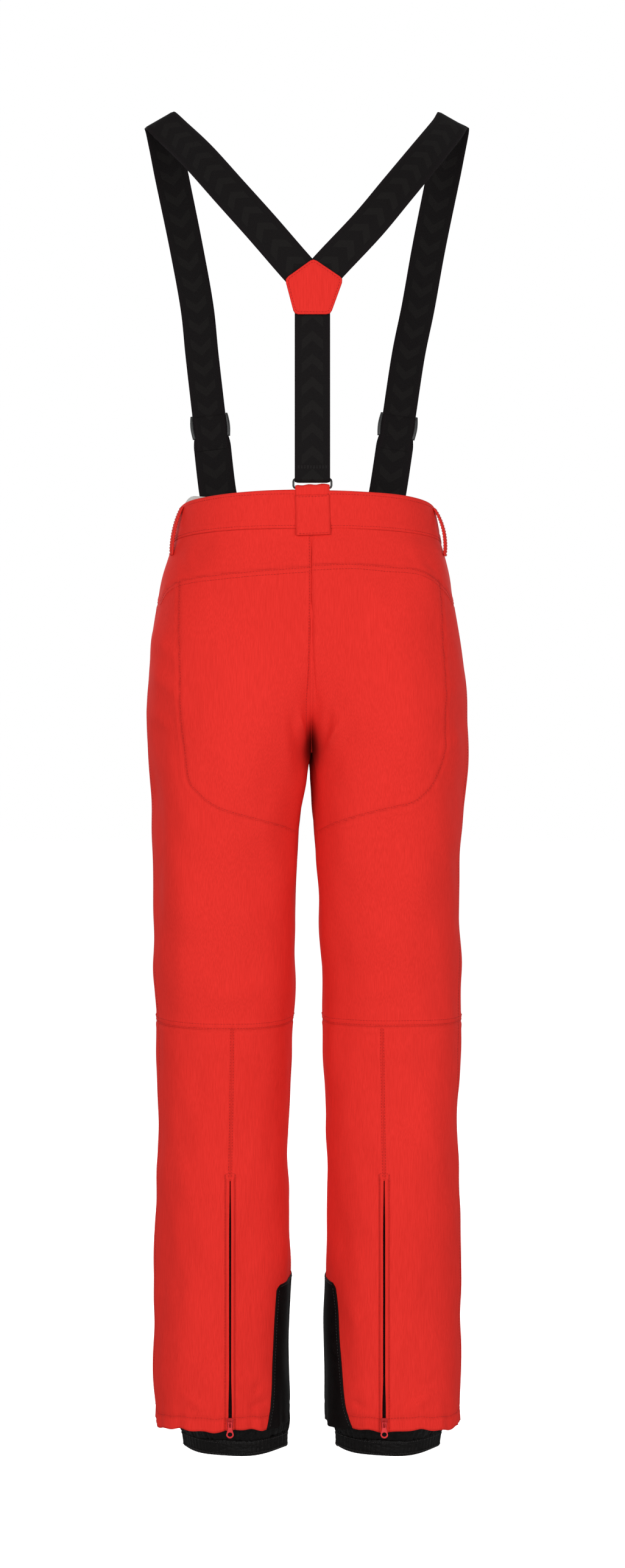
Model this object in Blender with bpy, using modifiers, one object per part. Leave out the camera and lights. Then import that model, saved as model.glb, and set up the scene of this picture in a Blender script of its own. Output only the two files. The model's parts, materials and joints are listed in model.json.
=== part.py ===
"""Ski pants with webbing braces, as separate sewn panels, zips, straps and plastic fittings.

Metres, +Z up. The wearer faces -Y, the wearer's left is +X. Z is 0 at the waistband's top edge at
the centre back, and the origin is the middle of the waist opening. The pants hang open, as worn.
"""
import math

import bmesh
import bpy
from mathutils import Matrix, Vector

# Driving dimensions -------------------------------------------------------------------------
WAISTBAND_HEIGHT = 0.042
YOKE_SEAM_Z = -0.095
CROTCH_Z = -0.294
KNEE_TOP_Z = -0.515
KNEE_BOTTOM_Z = -0.705
HEM_Z = -1.071
FRONT_DIP = 0.018            # how much lower the waist's top edge is at the front
DIP_FADE = 0.095             # below the waist, the dip has faded out here
CLOTH = 0.002                # shell thickness of the laminated softshell
GAP = 0.0003                 # half the gap left between two sewn edges
ROUNDNESS = 2.15             # exponent of the rounded cross-sections
STRIP_ANGLE = 20.0           # angle units that the flat inner-leg strip takes at each end

# One row per level: z, outer side, middle line, inner side, then depths to the back and the front
# at the middle line, and to the back and front ends of the centre seam or inner leg.
SECTIONS = (
    (0.000, 0.1500, 0.0200, 0.0003, 0.1075, 0.1084, 0.1072, 0.1084),
    (-0.042, 0.1580, 0.0250, 0.0003, 0.1105, 0.1090, 0.1098, 0.1090),
    (-0.095, 0.1720, 0.0400, 0.0003, 0.1155, 0.1096, 0.1140, 0.1096),
    (-0.160, 0.1820, 0.0600, 0.0003, 0.1190, 0.1103, 0.1140, 0.1103),
    (-0.210, 0.1870, 0.0740, 0.0003, 0.1185, 0.1108, 0.1040, 0.1090),
    (-0.250, 0.1890, 0.0830, 0.0003, 0.1150, 0.1100, 0.0850, 0.0880),
    (-0.294, 0.1888, 0.0915, 0.0006, 0.1090, 0.1060, 0.0500, 0.0520),
    (-0.350, 0.1855, 0.0960, 0.0088, 0.1020, 0.1010, 0.0250, 0.0250),
    (-0.441, 0.1820, 0.0975, 0.0130, 0.0930, 0.0930, 0.0080, 0.0080),
    (-0.592, 0.1780, 0.0980, 0.0184, 0.0800, 0.0820, 0.0050, 0.0050),
    (-0.700, 0.1770, 0.0990, 0.0206, 0.0790, 0.0770, 0.0050, 0.0050),
    (-0.785, 0.1780, 0.1000, 0.0218, 0.0805, 0.0760, 0.0050, 0.0050),
    (-0.930, 0.1795, 0.1010, 0.0226, 0.0817, 0.0775, 0.0050, 0.0050),
    (-1.071, 0.1810, 0.1020, 0.0230, 0.0829, 0.0790, 0.0050, 0.0050),
)

# Closing tab at the front of the waist, and the knees' bending lines
TAB_HINGE_X = 0.014
TAB_HINGE_Y = -0.1112
KNEE_X = 0.099
KNEE_Z = -0.610
FLAP_TOP_Z = -0.0060          # hinge line of the rear flap

# Zips
ZIP_SLOT = 0.0018            # half the gap between a zip's two cloth lips
LEG_ZIP_X = 0.088
LEG_ZIP_TOP_Z = -0.785
FLY_TOP_Z = -0.066
FLY_BOTTOM_Z = -0.185
POCKET_TOP = (-47.0, -0.078)     # angle and height of the hand pocket's two ends
POCKET_BOTTOM = (-22.0, -0.215)
SLIDER_STANDOFF = 0.0004     # a slider's plate runs this far off the cloth
PULLER_AXIS_OUT = 0.00295    # hinge line of a zip puller, out from the slider's base
PULLER_AXIS_UP = 0.0007

# Braces
WEBBING_WIDTH = 0.040
WEBBING = 0.002
REAR_X = -0.006              # the rear strap hangs a little off the centre line
LOOP_Y = 0.1056
RING_LOW_Z = 0.0035
RING_HIGH_Z = 0.0140
RING_WIRE = 0.00125
PATCH_Y = 0.1120
STRAP_JOIN_LOW_Z = 0.2032    # where the two diagonal straps' outer edges meet
STRAP_JOIN_HIGH_Z = 0.2630
FRONT_TOP = (0.1278, -0.105, 0.200)   # straight stretch of a front strap
FRONT_LOW = (0.1050, -0.095, 0.030)
ADJUSTER_Z = 0.112
ANCHOR_DEPTH = 0.0105        # a front strap's sewn end lies this far inside the waistband's face

RED = (0.72, 0.035, 0.022)
RED_SEAT = (0.66, 0.030, 0.020)
BLACK = (0.010, 0.008, 0.008)
WEB_BLACK = (0.013, 0.009, 0.010)
GREY = (0.035, 0.036, 0.036)
LINING = (0.52, 0.49, 0.46)
PULLER_PINK = (0.62, 0.05, 0.07)
STEEL = (0.45, 0.45, 0.46)

for old in list(bpy.data.objects):
    bpy.data.objects.remove(old, do_unlink=True)
parts = bpy.data.collections.new("ski_pants")
cutters = bpy.data.collections.new("cutters")
bpy.context.scene.collection.children.link(parts)
bpy.context.scene.collection.children.link(cutters)


# Making objects -----------------------------------------------------------------------------
def finish(obj, colour, roughness=0.8, metallic=0.0):
    """Gives a part its own material, a home in the parts' collection and smooth shading."""
    material = bpy.data.materials.new(obj.name + "_finish")
    material.use_nodes = True
    shader = material.node_tree.nodes["Principled BSDF"]
    shader.inputs["Base Color"].default_value = (*colour, 1.0)
    shader.inputs["Roughness"].default_value = roughness
    shader.inputs["Metallic"].default_value = metallic
    obj.data.materials.append(material)
    parts.objects.link(obj)
    if obj.type == "MESH":
        obj.data.shade_smooth()
        obj.data.set_sharp_from_angle(angle=math.radians(40))
    return obj


def grid_object(name, rows, colour, thickness, offset=-1.0, closed=False, flip=False, roughness=0.8):
    """Skins rows of points, listed from the top row down, and thickens the sheet with Solidify."""
    mesh = bpy.data.meshes.new(name)
    bm = bmesh.new()
    verts = [[bm.verts.new(point) for point in row] for row in rows]
    columns = len(rows[0])
    spans = columns if closed else columns - 1
    for upper, lower in zip(verts, verts[1:]):
        for k in range(spans):
            after = (k + 1) % columns
            face = [upper[k], lower[k], lower[after], upper[after]]
            if flip:
                face.reverse()
            bm.faces.new(face)
    bm.to_mesh(mesh)
    bm.free()
    obj = bpy.data.objects.new(name, mesh)
    solid = obj.modifiers.new("thickness", "SOLIDIFY")
    solid.thickness = thickness
    solid.offset = offset
    solid.use_quality_normals = True
    return finish(obj, colour, roughness)


def ribbon(name, edges, thickness, colour, roughness=0.8):
    """A strap: each row holds the two edge points of the webbing, from one end to the other."""
    return grid_object(name, edges, colour, thickness, offset=0.0, roughness=roughness)


def cross_rows(path, width):
    """Edge points for a strap along (centre, cross direction) pairs."""
    rows = []
    for centre, cross in path:
        half = Vector(cross).normalized() * (width / 2)
        rows.append((Vector(centre) + half, Vector(centre) - half))
    return rows


def box_mesh(low, high):
    """A box between two corners, as a mesh datablock."""
    mesh = bpy.data.meshes.new("box")
    bm = bmesh.new()
    bmesh.ops.create_cube(bm, size=1.0)
    size = Vector(high) - Vector(low)
    middle = (Vector(high) + Vector(low)) / 2
    bmesh.ops.scale(bm, vec=size, verts=bm.verts)
    bmesh.ops.translate(bm, vec=middle, verts=bm.verts)
    bm.to_mesh(mesh)
    bm.free()
    return mesh


def box(name, low, high, frame, colour, roughness=0.5, metallic=0.0, bevel=0.0):
    """A box between two corners of a local frame, with rounded edges if bevel is given."""
    obj = bpy.data.objects.new(name, box_mesh(low, high))
    obj.matrix_world = frame
    if bevel:
        edges = obj.modifiers.new("edges", "BEVEL")
        edges.width = bevel
        edges.segments = 2
    return finish(obj, colour, roughness, metallic)


def add_boolean(obj, operation, low, high):
    """Joins or cuts a box, given in the part's own frame."""
    tool = bpy.data.objects.new(obj.name + "_" + operation.lower(), box_mesh(low, high))
    cutters.objects.link(tool)
    tool.matrix_world = obj.matrix_world
    tool.hide_render = True
    tool.display_type = "WIRE"
    change = obj.modifiers.new(operation.lower(), "BOOLEAN")
    change.operation = operation
    change.object = tool


def outline_plate(name, loops, thickness, frame, colour, roughness=0.5, metallic=0.0):
    """A flat plate from closed outlines in the frame's X-Z plane; inner loops are holes."""
    curve = bpy.data.curves.new(name, "CURVE")
    curve.dimensions = "2D"
    curve.fill_mode = "BOTH"
    curve.extrude = thickness / 2
    for loop in loops:
        spline = curve.splines.new("POLY")
        spline.points.add(len(loop) - 1)
        for point, (x, z) in zip(spline.points, loop):
            point.co = (x, z, 0.0, 1.0)
        spline.use_cyclic_u = True
    obj = bpy.data.objects.new(name, curve)
    obj.matrix_world = frame @ Matrix.Rotation(math.radians(90), 4, "X")
    return finish(obj, colour, roughness, metallic)


def oval(centre_x, centre_z, half_width, half_height, steps=10):
    """Points round an oval."""
    turns = [2 * math.pi * k / steps for k in range(steps)]
    return [(centre_x + half_width * math.cos(t), centre_z + half_height * math.sin(t)) for t in turns]


def frame_matrix(origin, outward, up):
    """A frame at a point: local Y points outward, local Z as near to up as it can."""
    out = Vector(outward).normalized()
    across = out.cross(Vector(up)).normalized()
    top = across.cross(out)
    matrix = Matrix((across, out, top)).transposed().to_4x4()
    matrix.translation = Vector(origin)
    return matrix


# The trousers' surface -----------------------------------------------------------------------
def section(z):
    """The seven measures of the cross-section at a height, on smooth curves through SECTIONS."""
    if z >= SECTIONS[0][0]:
        return SECTIONS[0][1:]
    if z <= SECTIONS[-1][0]:
        return SECTIONS[-1][1:]
    low = next(k for k in range(1, len(SECTIONS)) if z >= SECTIONS[k][0])
    before = SECTIONS[max(low - 2, 0)]
    top = SECTIONS[low - 1]
    bottom = SECTIONS[low]
    after = SECTIONS[min(low + 1, len(SECTIONS) - 1)]
    span = bottom[0] - top[0]
    t = (z - top[0]) / span
    values = []
    for k in range(1, 8):
        slope_top = (bottom[k] - before[k]) / (bottom[0] - before[0]) * span
        slope_bottom = (after[k] - top[k]) / (after[0] - top[0]) * span
        values.append(
            (2 * t**3 - 3 * t**2 + 1) * top[k]
            + (t**3 - 2 * t**2 + t) * slope_top
            + (3 * t**2 - 2 * t**3) * bottom[k]
            + (t**3 - t**2) * slope_bottom
        )
    return values


def surface(side, angle, z):
    """A point of the outer cloth. The angle is 0 at the outer side, 90 at the back of the leg and
    -90 at its front, 180 and -180 at the centre seam, and 200 or -200 at the middle of the inner
    leg. side is 1 for the wearer's left and -1 for the right."""
    full = 180.0 + STRIP_ANGLE
    if angle > full:
        angle -= 2 * full
    outer, middle, inner, back, front, back_end, front_end = section(z)
    behind = angle >= 0
    depth = back if behind else front
    end = back_end if behind else front_end
    turn = abs(angle)
    power = 2 / ROUNDNESS
    if turn <= 90:
        radians = math.radians(turn)
        x = middle + (outer - middle) * math.cos(radians) ** power
        y = depth * math.sin(radians) ** power
    elif turn <= 180:
        radians = math.radians(turn - 90)
        x = middle - (middle - inner) * math.sin(radians) ** power
        y = end + (depth - end) * max(math.cos(radians), 0.0) ** power
    else:
        x = inner
        y = end * (1 - (turn - 180) / STRIP_ANGLE)
    y = y if behind else -y
    fade = max(0.0, 1 + z / DIP_FADE)
    dip = FRONT_DIP / 2 * (1 - y / 0.1075) * fade
    return Vector((side * x, y, z - dip))


def angle_at(z, x, behind=True):
    """The angle at which the back or front of the cloth is at a distance from the centre line."""
    outer, middle, inner = section(z)[:3]
    if x >= middle:
        turn = math.degrees(math.acos(((x - middle) / (outer - middle)) ** (ROUNDNESS / 2)))
    else:
        share = min((middle - x) / (middle - inner), 1.0)
        turn = 90 + math.degrees(math.asin(share ** (ROUNDNESS / 2)))
    return turn if behind else -turn


def normal_at(side, angle, z):
    """The outward direction of the cloth."""
    step = 0.5
    around = surface(side, angle + step, z) - surface(side, angle - step, z)
    upward = surface(side, angle, z + 0.002) - surface(side, angle, z - 0.002)
    return (around.cross(upward) * side).normalized()


def inset_point(side, angle, z, depth):
    """A point at a depth below the cloth's outer face."""
    point = surface(side, angle, z)
    return point - normal_at(side, angle, z) * depth if depth else point


def panel(name, side, start, stop, top, bottom, columns, rows, colour, depth=0.0, thickness=CLOTH):
    """A sewn panel between two edges, which are functions of the height or fixed angles."""
    first = start if callable(start) else lambda z: start
    last = stop if callable(stop) else lambda z: stop
    grid = []
    for r in range(rows + 1):
        z = top + (bottom - top) * r / rows
        row = []
        for c in range(columns + 1):
            angle = first(z) + (last(z) - first(z)) * c / columns
            row.append(inset_point(side, angle, z, depth))
        grid.append(row)
    return grid_object(name, grid, colour, thickness, flip=side < 0)


def tube_panel(name, side, top, bottom, columns, rows, colour):
    """A panel that goes all the way round one leg."""
    full = 180.0 + STRIP_ANGLE
    grid = []
    for r in range(rows + 1):
        z = top + (bottom - top) * r / rows
        grid.append([surface(side, -full + 2 * full * c / columns, z) for c in range(columns)])
    return grid_object(name, grid, colour, CLOTH, closed=True, flip=side < 0)


def waist_ring(name, top, bottom, depth, thickness, rows, colour):
    """A band right round the waist, from the centre back over the left to the right side."""
    steps = 16
    grid = []
    for r in range(rows + 1):
        z = top + (bottom - top) * r / rows
        row = []
        for side, first, last in ((1, -150.0, 150.0), (-1, 150.0, -150.0)):
            for c in range(steps + 1):
                angle = first + (last - first) * c / steps
                row.append(inset_point(side, angle, z, depth))
        grid.append(row)
    return grid_object(name, grid, colour, thickness, closed=True)


# Waist and seat ------------------------------------------------------------------------------
def make_waist():
    waist_ring("waistband", 0.0, -WAISTBAND_HEIGHT, 0.0, CLOTH, 2, RED)
    waist_ring("waistband_lining", -0.001, -WAISTBAND_HEIGHT, CLOTH + 0.0004, 0.0012, 2, LINING)
    tab_top = -FRONT_DIP - 0.006
    tab_low = -FRONT_DIP - 0.036
    hinge = frame_matrix((TAB_HINGE_X, TAB_HINGE_Y, 0.0), (0, -1, 0), (0, 0, 1))
    box("waist_tab", (0.0, -0.0008, tab_low), (0.060, 0.0008, tab_top), hinge, RED, bevel=0.0004)
    outline_plate("waist_snap", [oval(0.044, (tab_top + tab_low) / 2, 0.0075, 0.0075, 16)], 0.0016,
                  hinge @ Matrix.Translation((0, 0.0020, 0)), GREY, 0.35, 0.6)


def make_belt_loop(side_name, side):
    """A side loop stands off the waistband, so that a belt passes behind it."""
    angle = 8.0
    top, bottom, standoff = -0.003, -0.056, 0.008
    path = []
    for k in range(9):
        t = k / 8
        z = top + (bottom - top) * t
        out = 0.0016 + standoff * math.sin(math.pi * t) ** 0.6
        normal = normal_at(side, angle, z)
        normal.z = 0.0
        path.append((surface(side, angle, z) + normal.normalized() * out, (0, 1, 0)))
    ribbon("belt_loop_" + side_name, cross_rows(path, 0.012), 0.0016, RED)


def make_hip(side_name, side):
    side_edge = 58.0
    gap = GAP
    panel("back_yoke_" + side_name, side, side_edge, 180.0, -WAISTBAND_HEIGHT - 2 * gap,
          YOKE_SEAM_Z + gap, 10, 2, RED)
    panel("seat_panel_" + side_name, side, side_edge, 180.0, YOKE_SEAM_Z - gap,
          CROTCH_Z + gap, 10, 7, RED_SEAT)

    def front_edge(z):
        """The front panel stops short of the centre beside the fly zip."""
        half_slot = ZIP_SLOT if z > FLY_BOTTOM_Z else 0.0004
        return angle_at(z, half_slot, behind=False)

    def side_seam(z):
        return side_edge - 0.4

    front = panel("front_panel_" + side_name, side, front_edge, side_seam,
                  -WAISTBAND_HEIGHT - 2 * gap, CROTCH_Z + gap, 16, 9, RED)
    return front


# Zips ----------------------------------------------------------------------------------------
def make_slider(name, frame, neck):
    """A slider: a plate outside the cloth, a neck down the slot, and an arched bail on top."""
    slider = box(name, (-0.004, 0.0004, -0.0055), (0.004, 0.0019, 0.0055), frame, GREY, 0.4, 0.5)
    add_boolean(slider, "UNION", (-0.0009, -neck, -0.004), (0.0009, 0.0010, 0.004))
    add_boolean(slider, "UNION", (-0.0006, 0.0015, -0.0030), (0.0006, 0.0049, -0.0020))
    add_boolean(slider, "UNION", (-0.0006, 0.0015, 0.0020), (0.0006, 0.0049, 0.0030))
    add_boolean(slider, "UNION", (-0.0005, 0.0040, -0.0026), (0.0005, 0.0048, 0.0026))


def make_puller(name, frame, length, colour):
    """A puller: its top bar sits inside the bail, and an oval hole makes its finger ring."""
    half_top, half_low = 0.0030, 0.0045
    end = [(half_low * math.cos(t), -length + half_low + half_low * math.sin(t))
           for t in [math.pi + math.pi * k / 8 for k in range(9)]]
    outline = [(-half_top, 0.0008)] + end + [(half_top, 0.0008)]
    slot = [(-0.0012, -0.0007), (-0.0012, -0.0054), (0.0012, -0.0054), (0.0012, -0.0007)]
    ring = oval(0.0, -length + 0.0068, 0.0019, 0.0040)
    hinge = frame @ Matrix.Translation((0, PULLER_AXIS_OUT, PULLER_AXIS_UP))
    outline_plate(name, [outline, slot, ring], 0.0010, hinge, colour, 0.5)


def line_frame(high, low, outward):
    """A zip's frame at its middle, with local Z along the zip, and the zip's length."""
    along = high - low
    normal = outward - along * (outward.dot(along) / along.length_squared)
    return frame_matrix((high + low) / 2, normal, along), along.length


def make_zip(prefix, frame, length, slider_at, neck, puller_length, tape_width):
    """Tape and coil behind the cloth, with a slider and puller in front of it."""
    half = length / 2
    box(prefix + "_tape", (-tape_width / 2, -0.0058, -half - 0.004), (tape_width / 2, -0.0050, half + 0.006),
        frame, RED_SEAT, 0.9)
    box(prefix + "_coil", (-0.0025, -0.0042, -half), (0.0025, -0.0026, half), frame, BLACK, 0.5, bevel=0.0005)
    at_slider = frame @ Matrix.Translation((0, SLIDER_STANDOFF, slider_at))
    make_slider(prefix + "_slider", at_slider, neck)
    make_puller(prefix + "_puller", at_slider, puller_length, PULLER_PINK)


def make_leg_zip(side_name, side):
    high = surface(side, angle_at(LEG_ZIP_TOP_Z, LEG_ZIP_X), LEG_ZIP_TOP_Z)
    low = surface(side, angle_at(HEM_Z, LEG_ZIP_X), HEM_Z + 0.004)
    frame, length = line_frame(high, low, Vector((0, 1, 0)))
    make_zip(side_name + "_leg_zip", frame, length, -length / 2 + 0.006, 0.0023, 0.022, 0.016)


def make_fly():
    high = surface(1, -180, FLY_TOP_Z)
    low = surface(1, -180, FLY_BOTTOM_Z)
    high.x = 0.0
    low.x = 0.0
    frame, length = line_frame(high, low, Vector((0, -1, 0)))
    make_zip("fly_zip", frame, length, length / 2 - 0.008, 0.0023, 0.020, 0.026)
    box("fly_shield", (-0.020, -0.0078, -length / 2 - 0.008), (0.020, -0.0064, length / 2 + 0.008),
        frame, RED_SEAT, 0.9)


def make_hand_pocket(side_name, side):
    """A welted zip on the front of the hip, and the flat bag behind the cloth."""
    high = surface(side, *POCKET_TOP)
    low = surface(side, *POCKET_BOTTOM)
    middle_angle = (POCKET_TOP[0] + POCKET_BOTTOM[0]) / 2
    middle_z = (POCKET_TOP[1] + POCKET_BOTTOM[1]) / 2
    outward = normal_at(side, middle_angle, middle_z)
    frame, length = line_frame(high, low, outward)
    rise = (surface(side, middle_angle, middle_z) - (high + low) / 2).dot(outward) + 0.0014
    frame = frame @ Matrix.Translation((0, rise + 0.0018, 0))
    half = length / 2
    welt = [(-0.007, -half - 0.006), (0.007, -half - 0.006), (0.007, half + 0.006), (-0.007, half + 0.006)]
    slot = [(-ZIP_SLOT, -half), (ZIP_SLOT, -half), (ZIP_SLOT, half), (-ZIP_SLOT, half)]
    outline_plate("pocket_welt_" + side_name, [welt, slot], 0.0016,
                  frame @ Matrix.Translation((0, -0.0008, 0)), RED, 0.8)
    at_slider = frame @ Matrix.Translation((0, 0, half - 0.007))
    make_slider("pocket_slider_" + side_name, at_slider, 0.0014)
    make_puller("pocket_puller_" + side_name, at_slider, 0.022, PULLER_PINK)
    panel("pocket_bag_" + side_name, side, -70.0, -12.0, -0.070, -0.235, 6, 4, LINING,
          depth=0.0050, thickness=0.0016)


# Legs ----------------------------------------------------------------------------------------
def make_leg(side_name, side):
    tube_panel(side_name + "_thigh_panel", side, CROTCH_Z - GAP, KNEE_TOP_Z + GAP, 24, 5, RED)
    tube_panel(side_name + "_knee_panel", side, KNEE_TOP_Z - GAP, KNEE_BOTTOM_Z + GAP, 24, 5, RED)
    top = KNEE_BOTTOM_Z - GAP

    def half_slot(z):
        return ZIP_SLOT if z < LEG_ZIP_TOP_Z + 0.004 else GAP

    def outer_edge(z):
        return angle_at(z, LEG_ZIP_X + half_slot(z))

    def inner_edge(z):
        return angle_at(z, LEG_ZIP_X - half_slot(z))

    panel(side_name + "_calf_outer_panel", side, -150.0, outer_edge, top, HEM_Z, 14, 9, RED)
    panel(side_name + "_calf_inner_panel", side, inner_edge, 249.4, top, HEM_Z, 8, 9, RED)
    panel(side_name + "_edge_guard", side, 142.0, 252.0, HEM_Z + 0.176, HEM_Z, 8, 2, BLACK,
          depth=-0.0026, thickness=0.0011)


def gaiter_ring(side, z, shrink, steps=20):
    """A ring of points of the snow gaiter, which narrows towards its elastic."""
    levels = ((-0.930, 0.1000, 0.0715, 0.0700), (-1.060, 0.0960, 0.0680, 0.0690), (-1.126, 0.0900, 0.0615, 0.0620))
    upper, lower = (levels[0], levels[1]) if z > levels[1][0] else (levels[1], levels[2])
    t = (z - upper[0]) / (lower[0] - upper[0])
    centre, half_x, half_y = [a + (b - a) * t for a, b in zip(upper[1:], lower[1:])]
    points = []
    for k in range(steps):
        turn = 2 * math.pi * k / steps
        x = centre + (half_x - shrink) * math.cos(turn)
        points.append(Vector((side * x, (half_y - shrink) * math.sin(turn), z)))
    return points


def make_gaiter(side_name, side):
    heights = [-0.930 - 0.196 * k / 4 for k in range(5)]
    rows = [gaiter_ring(side, z, 0.0) for z in heights]
    grid_object(side_name + "_gaiter", rows, BLACK, 0.0012, closed=True, flip=side < 0)
    rows = [gaiter_ring(side, z, 0.0017) for z in (-1.108, -1.1255)]
    grid_object(side_name + "_gaiter_elastic", rows, WEB_BLACK, 0.0012, closed=True, flip=side < 0)
    path = []
    centre_x = side * 0.091
    for y, z in ((-0.0650, -1.094), (-0.0650, -1.112), (-0.0655, -1.119), (-0.0680, -1.1215),
                 (-0.0705, -1.119), (-0.0712, -1.112)):
        path.append(((centre_x, y - 0.0015, z), (1, 0, 0)))
    hook = ribbon(side_name + "_boot_hook", cross_rows(path, 0.009), 0.0012, STEEL, 0.3)
    hook.data.materials[0].node_tree.nodes["Principled BSDF"].inputs["Metallic"].default_value = 1.0


# Braces --------------------------------------------------------------------------------------
def make_rear_fastening():
    ring_centre = (RING_LOW_Z + RING_HIGH_Z) / 2
    half_x, half_z, corner = 0.0215, (RING_HIGH_Z - RING_LOW_Z) / 2, 0.003
    curve = bpy.data.curves.new("rear_ring", "CURVE")
    curve.dimensions = "3D"
    curve.bevel_depth = RING_WIRE
    curve.bevel_resolution = 2
    points = []
    for quarter, (sx, sz) in enumerate(((1, 1), (-1, 1), (-1, -1), (1, -1))):
        for k in range(4):
            turn = math.pi / 2 * (quarter + k / 3)
            x = sx * (half_x - corner) + corner * math.cos(turn)
            z = sz * (half_z - corner) + corner * math.sin(turn)
            points.append((x, 0.0, z + ring_centre - RING_LOW_Z))
    spline = curve.splines.new("POLY")
    spline.points.add(len(points) - 1)
    for point, co in zip(spline.points, points):
        point.co = (*co, 1.0)
    spline.use_cyclic_u = True
    ring = bpy.data.objects.new("rear_ring", curve)
    ring.location = (REAR_X, LOOP_Y, RING_LOW_Z)
    finish(ring, GREY, 0.4)

    bend = 0.0034
    path = [((REAR_X, LOOP_Y + bend, z), (1, 0, 0)) for z in (-0.0045, 0.0010)]
    for k in range(7):
        turn = math.pi * k / 6
        path.append(((REAR_X, LOOP_Y + bend * math.cos(turn), RING_LOW_Z + bend * math.sin(turn)), (1, 0, 0)))
    path.append(((REAR_X, LOOP_Y - bend - 0.0002, -0.008), (1, 0, 0)))
    path.append(((REAR_X, LOOP_Y - bend + 0.0012, -0.036), (1, 0, 0)))
    ribbon("rear_tab", cross_rows(path, 0.039), 0.0016, RED)

    flap_top = Vector((REAR_X, LOOP_Y + bend, FLAP_TOP_Z))
    flap = [(Vector(), (1, 0, 0)), (Vector((REAR_X, 0.1133, -0.051)) - flap_top, (1, 0, 0))]
    ribbon("rear_flap", cross_rows(flap, 0.039), 0.0016, RED).location = flap_top

    bend = 0.00355
    path = [((REAR_X, LOOP_Y - bend, z), (1, 0, 0)) for z in (0.030, 0.0185)]
    for k in range(7):
        turn = math.pi * k / 6
        path.append(((REAR_X, LOOP_Y - bend * math.cos(turn), RING_HIGH_Z - bend * math.sin(turn)), (1, 0, 0)))
    path += [((REAR_X, LOOP_Y + bend, 0.0185), (1, 0, 0)), ((REAR_X, 0.1088, 0.120), (1, 0, 0)),
             ((REAR_X, 0.1080, STRAP_JOIN_LOW_Z - 0.001), (1, 0, 0))]
    ribbon("rear_strap", cross_rows(path, WEBBING_WIDTH), WEBBING, WEB_BLACK)


def make_back_patch():
    """The five-sided patch that joins the two shoulder straps and the rear strap."""
    outline = [(0.0026, 0.2631), (0.0360, 0.2390), (0.0195, 0.2010), (-0.0200, 0.2010), (-0.0290, 0.2393)]
    frame = frame_matrix((REAR_X, PATCH_Y, 0.0), (0, 1, 0), (0, 0, 1))
    outline_plate("back_patch", [[(-x, z) for x, z in outline]], 0.0016, frame, RED, 0.8)


def smooth_path(points, steps):
    """Points along a smooth curve through hand-placed points, as (centre, cross) pairs."""
    result = []
    for k in range(len(points) - 1):
        around = [points[max(k - 1, 0)], points[k], points[k + 1], points[min(k + 2, len(points) - 1)]]
        for step in range(steps if k < len(points) - 2 else steps + 1):
            t = step / steps
            weights = (-0.5 * t**3 + t**2 - 0.5 * t, 1.5 * t**3 - 2.5 * t**2 + 1,
                       -1.5 * t**3 + 2 * t**2 + 0.5 * t, 0.5 * t**3 - 0.5 * t**2)
            centre = sum((Vector(p[0]) * w for p, w in zip(around, weights)), Vector())
            cross = sum((Vector(p[1]) * w for p, w in zip(around, weights)), Vector())
            result.append((centre, cross))
    return result


def anchor_frame(side):
    """Where a front strap is sewn inside the waistband."""
    z = -0.012
    angle = angle_at(z, 0.102, behind=False)
    normal = normal_at(side, angle, z)
    normal.z = 0.0
    normal.normalize()
    return surface(side, angle, z) - normal * ANCHOR_DEPTH, normal


def make_shoulder_strap(side_name, side):
    """One strap from the patch, over the shoulder fold and down to the front of the waistband."""
    join = REAR_X + side * 0.0004
    along = Vector((side * 0.669, 0.0, 0.743))
    perpendicular = Vector((side * 0.743, 0.0, -0.669))
    inner = Vector((join, 0.1080, STRAP_JOIN_HIGH_Z))
    edges = [(Vector((join, 0.1080, STRAP_JOIN_LOW_Z)), inner),
             (inner + along * 0.0012 + perpendicular * WEBBING_WIDTH, inner + along * 0.0012)]
    anchor, normal = anchor_frame(side)
    tangent = Vector((-normal.y, normal.x, 0.0)) * side
    tangent = tangent if tangent.x * side > 0 else -tangent

    def row(x, y, z, cx, cy, cz):
        return (side * x, y, z), (side * cx, cy, cz)

    start = inner + along * 0.012 + perpendicular * WEBBING_WIDTH / 2
    points = [
        (start, perpendicular),
        row(0.0630, 0.1010, 0.3110, 0.743, 0, -0.669),
        row(0.1010, 0.0870, 0.3557, 0.78, 0, -0.63),
        row(0.1480, 0.0480, 0.4078, 0.86, 0, -0.50),
        row(0.1690, 0.0180, 0.4480, 0.86, 0, -0.51),
        row(0.1740, 0.0000, 0.4560, 0.86, 0, -0.51),
        row(0.1735, -0.0180, 0.4500, 0.90, 0, -0.44),
        row(0.1630, -0.0640, 0.3980, 0.97, 0, -0.22),
        row(0.1495, -0.0930, 0.3306, 0.985, 0, -0.17),
        row(0.1370, -0.1030, 0.2600, 0.985, 0, -0.17),
    ]
    path = smooth_path(points, 3)
    high = Vector((side * FRONT_TOP[0], *FRONT_TOP[1:]))
    low = Vector((side * FRONT_LOW[0], *FRONT_LOW[1:]))
    straight_cross = strap_frame(side).col[0].to_3d() * side
    straight_cross = straight_cross if straight_cross.x * side > 0 else -straight_cross
    path.append((high, straight_cross))
    path.append((low, straight_cross))
    path.append(((anchor + Vector((0, -0.004, 0.026))), straight_cross + tangent))
    path.append((anchor + Vector((0, 0, 0.008)), tangent))
    path.append((anchor + Vector((0, 0, -0.026)), tangent))
    rows = edges + cross_rows(path, WEBBING_WIDTH)
    ribbon("shoulder_strap_" + side_name, rows, WEBBING, WEB_BLACK)

    plate = frame_matrix(anchor - normal * 0.0023, normal, (0, 0, 1))
    box("front_anchor_" + side_name, (-0.021, -0.0007, -0.026), (0.021, 0.0007, -0.002), plate, RED, 0.8)


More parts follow.
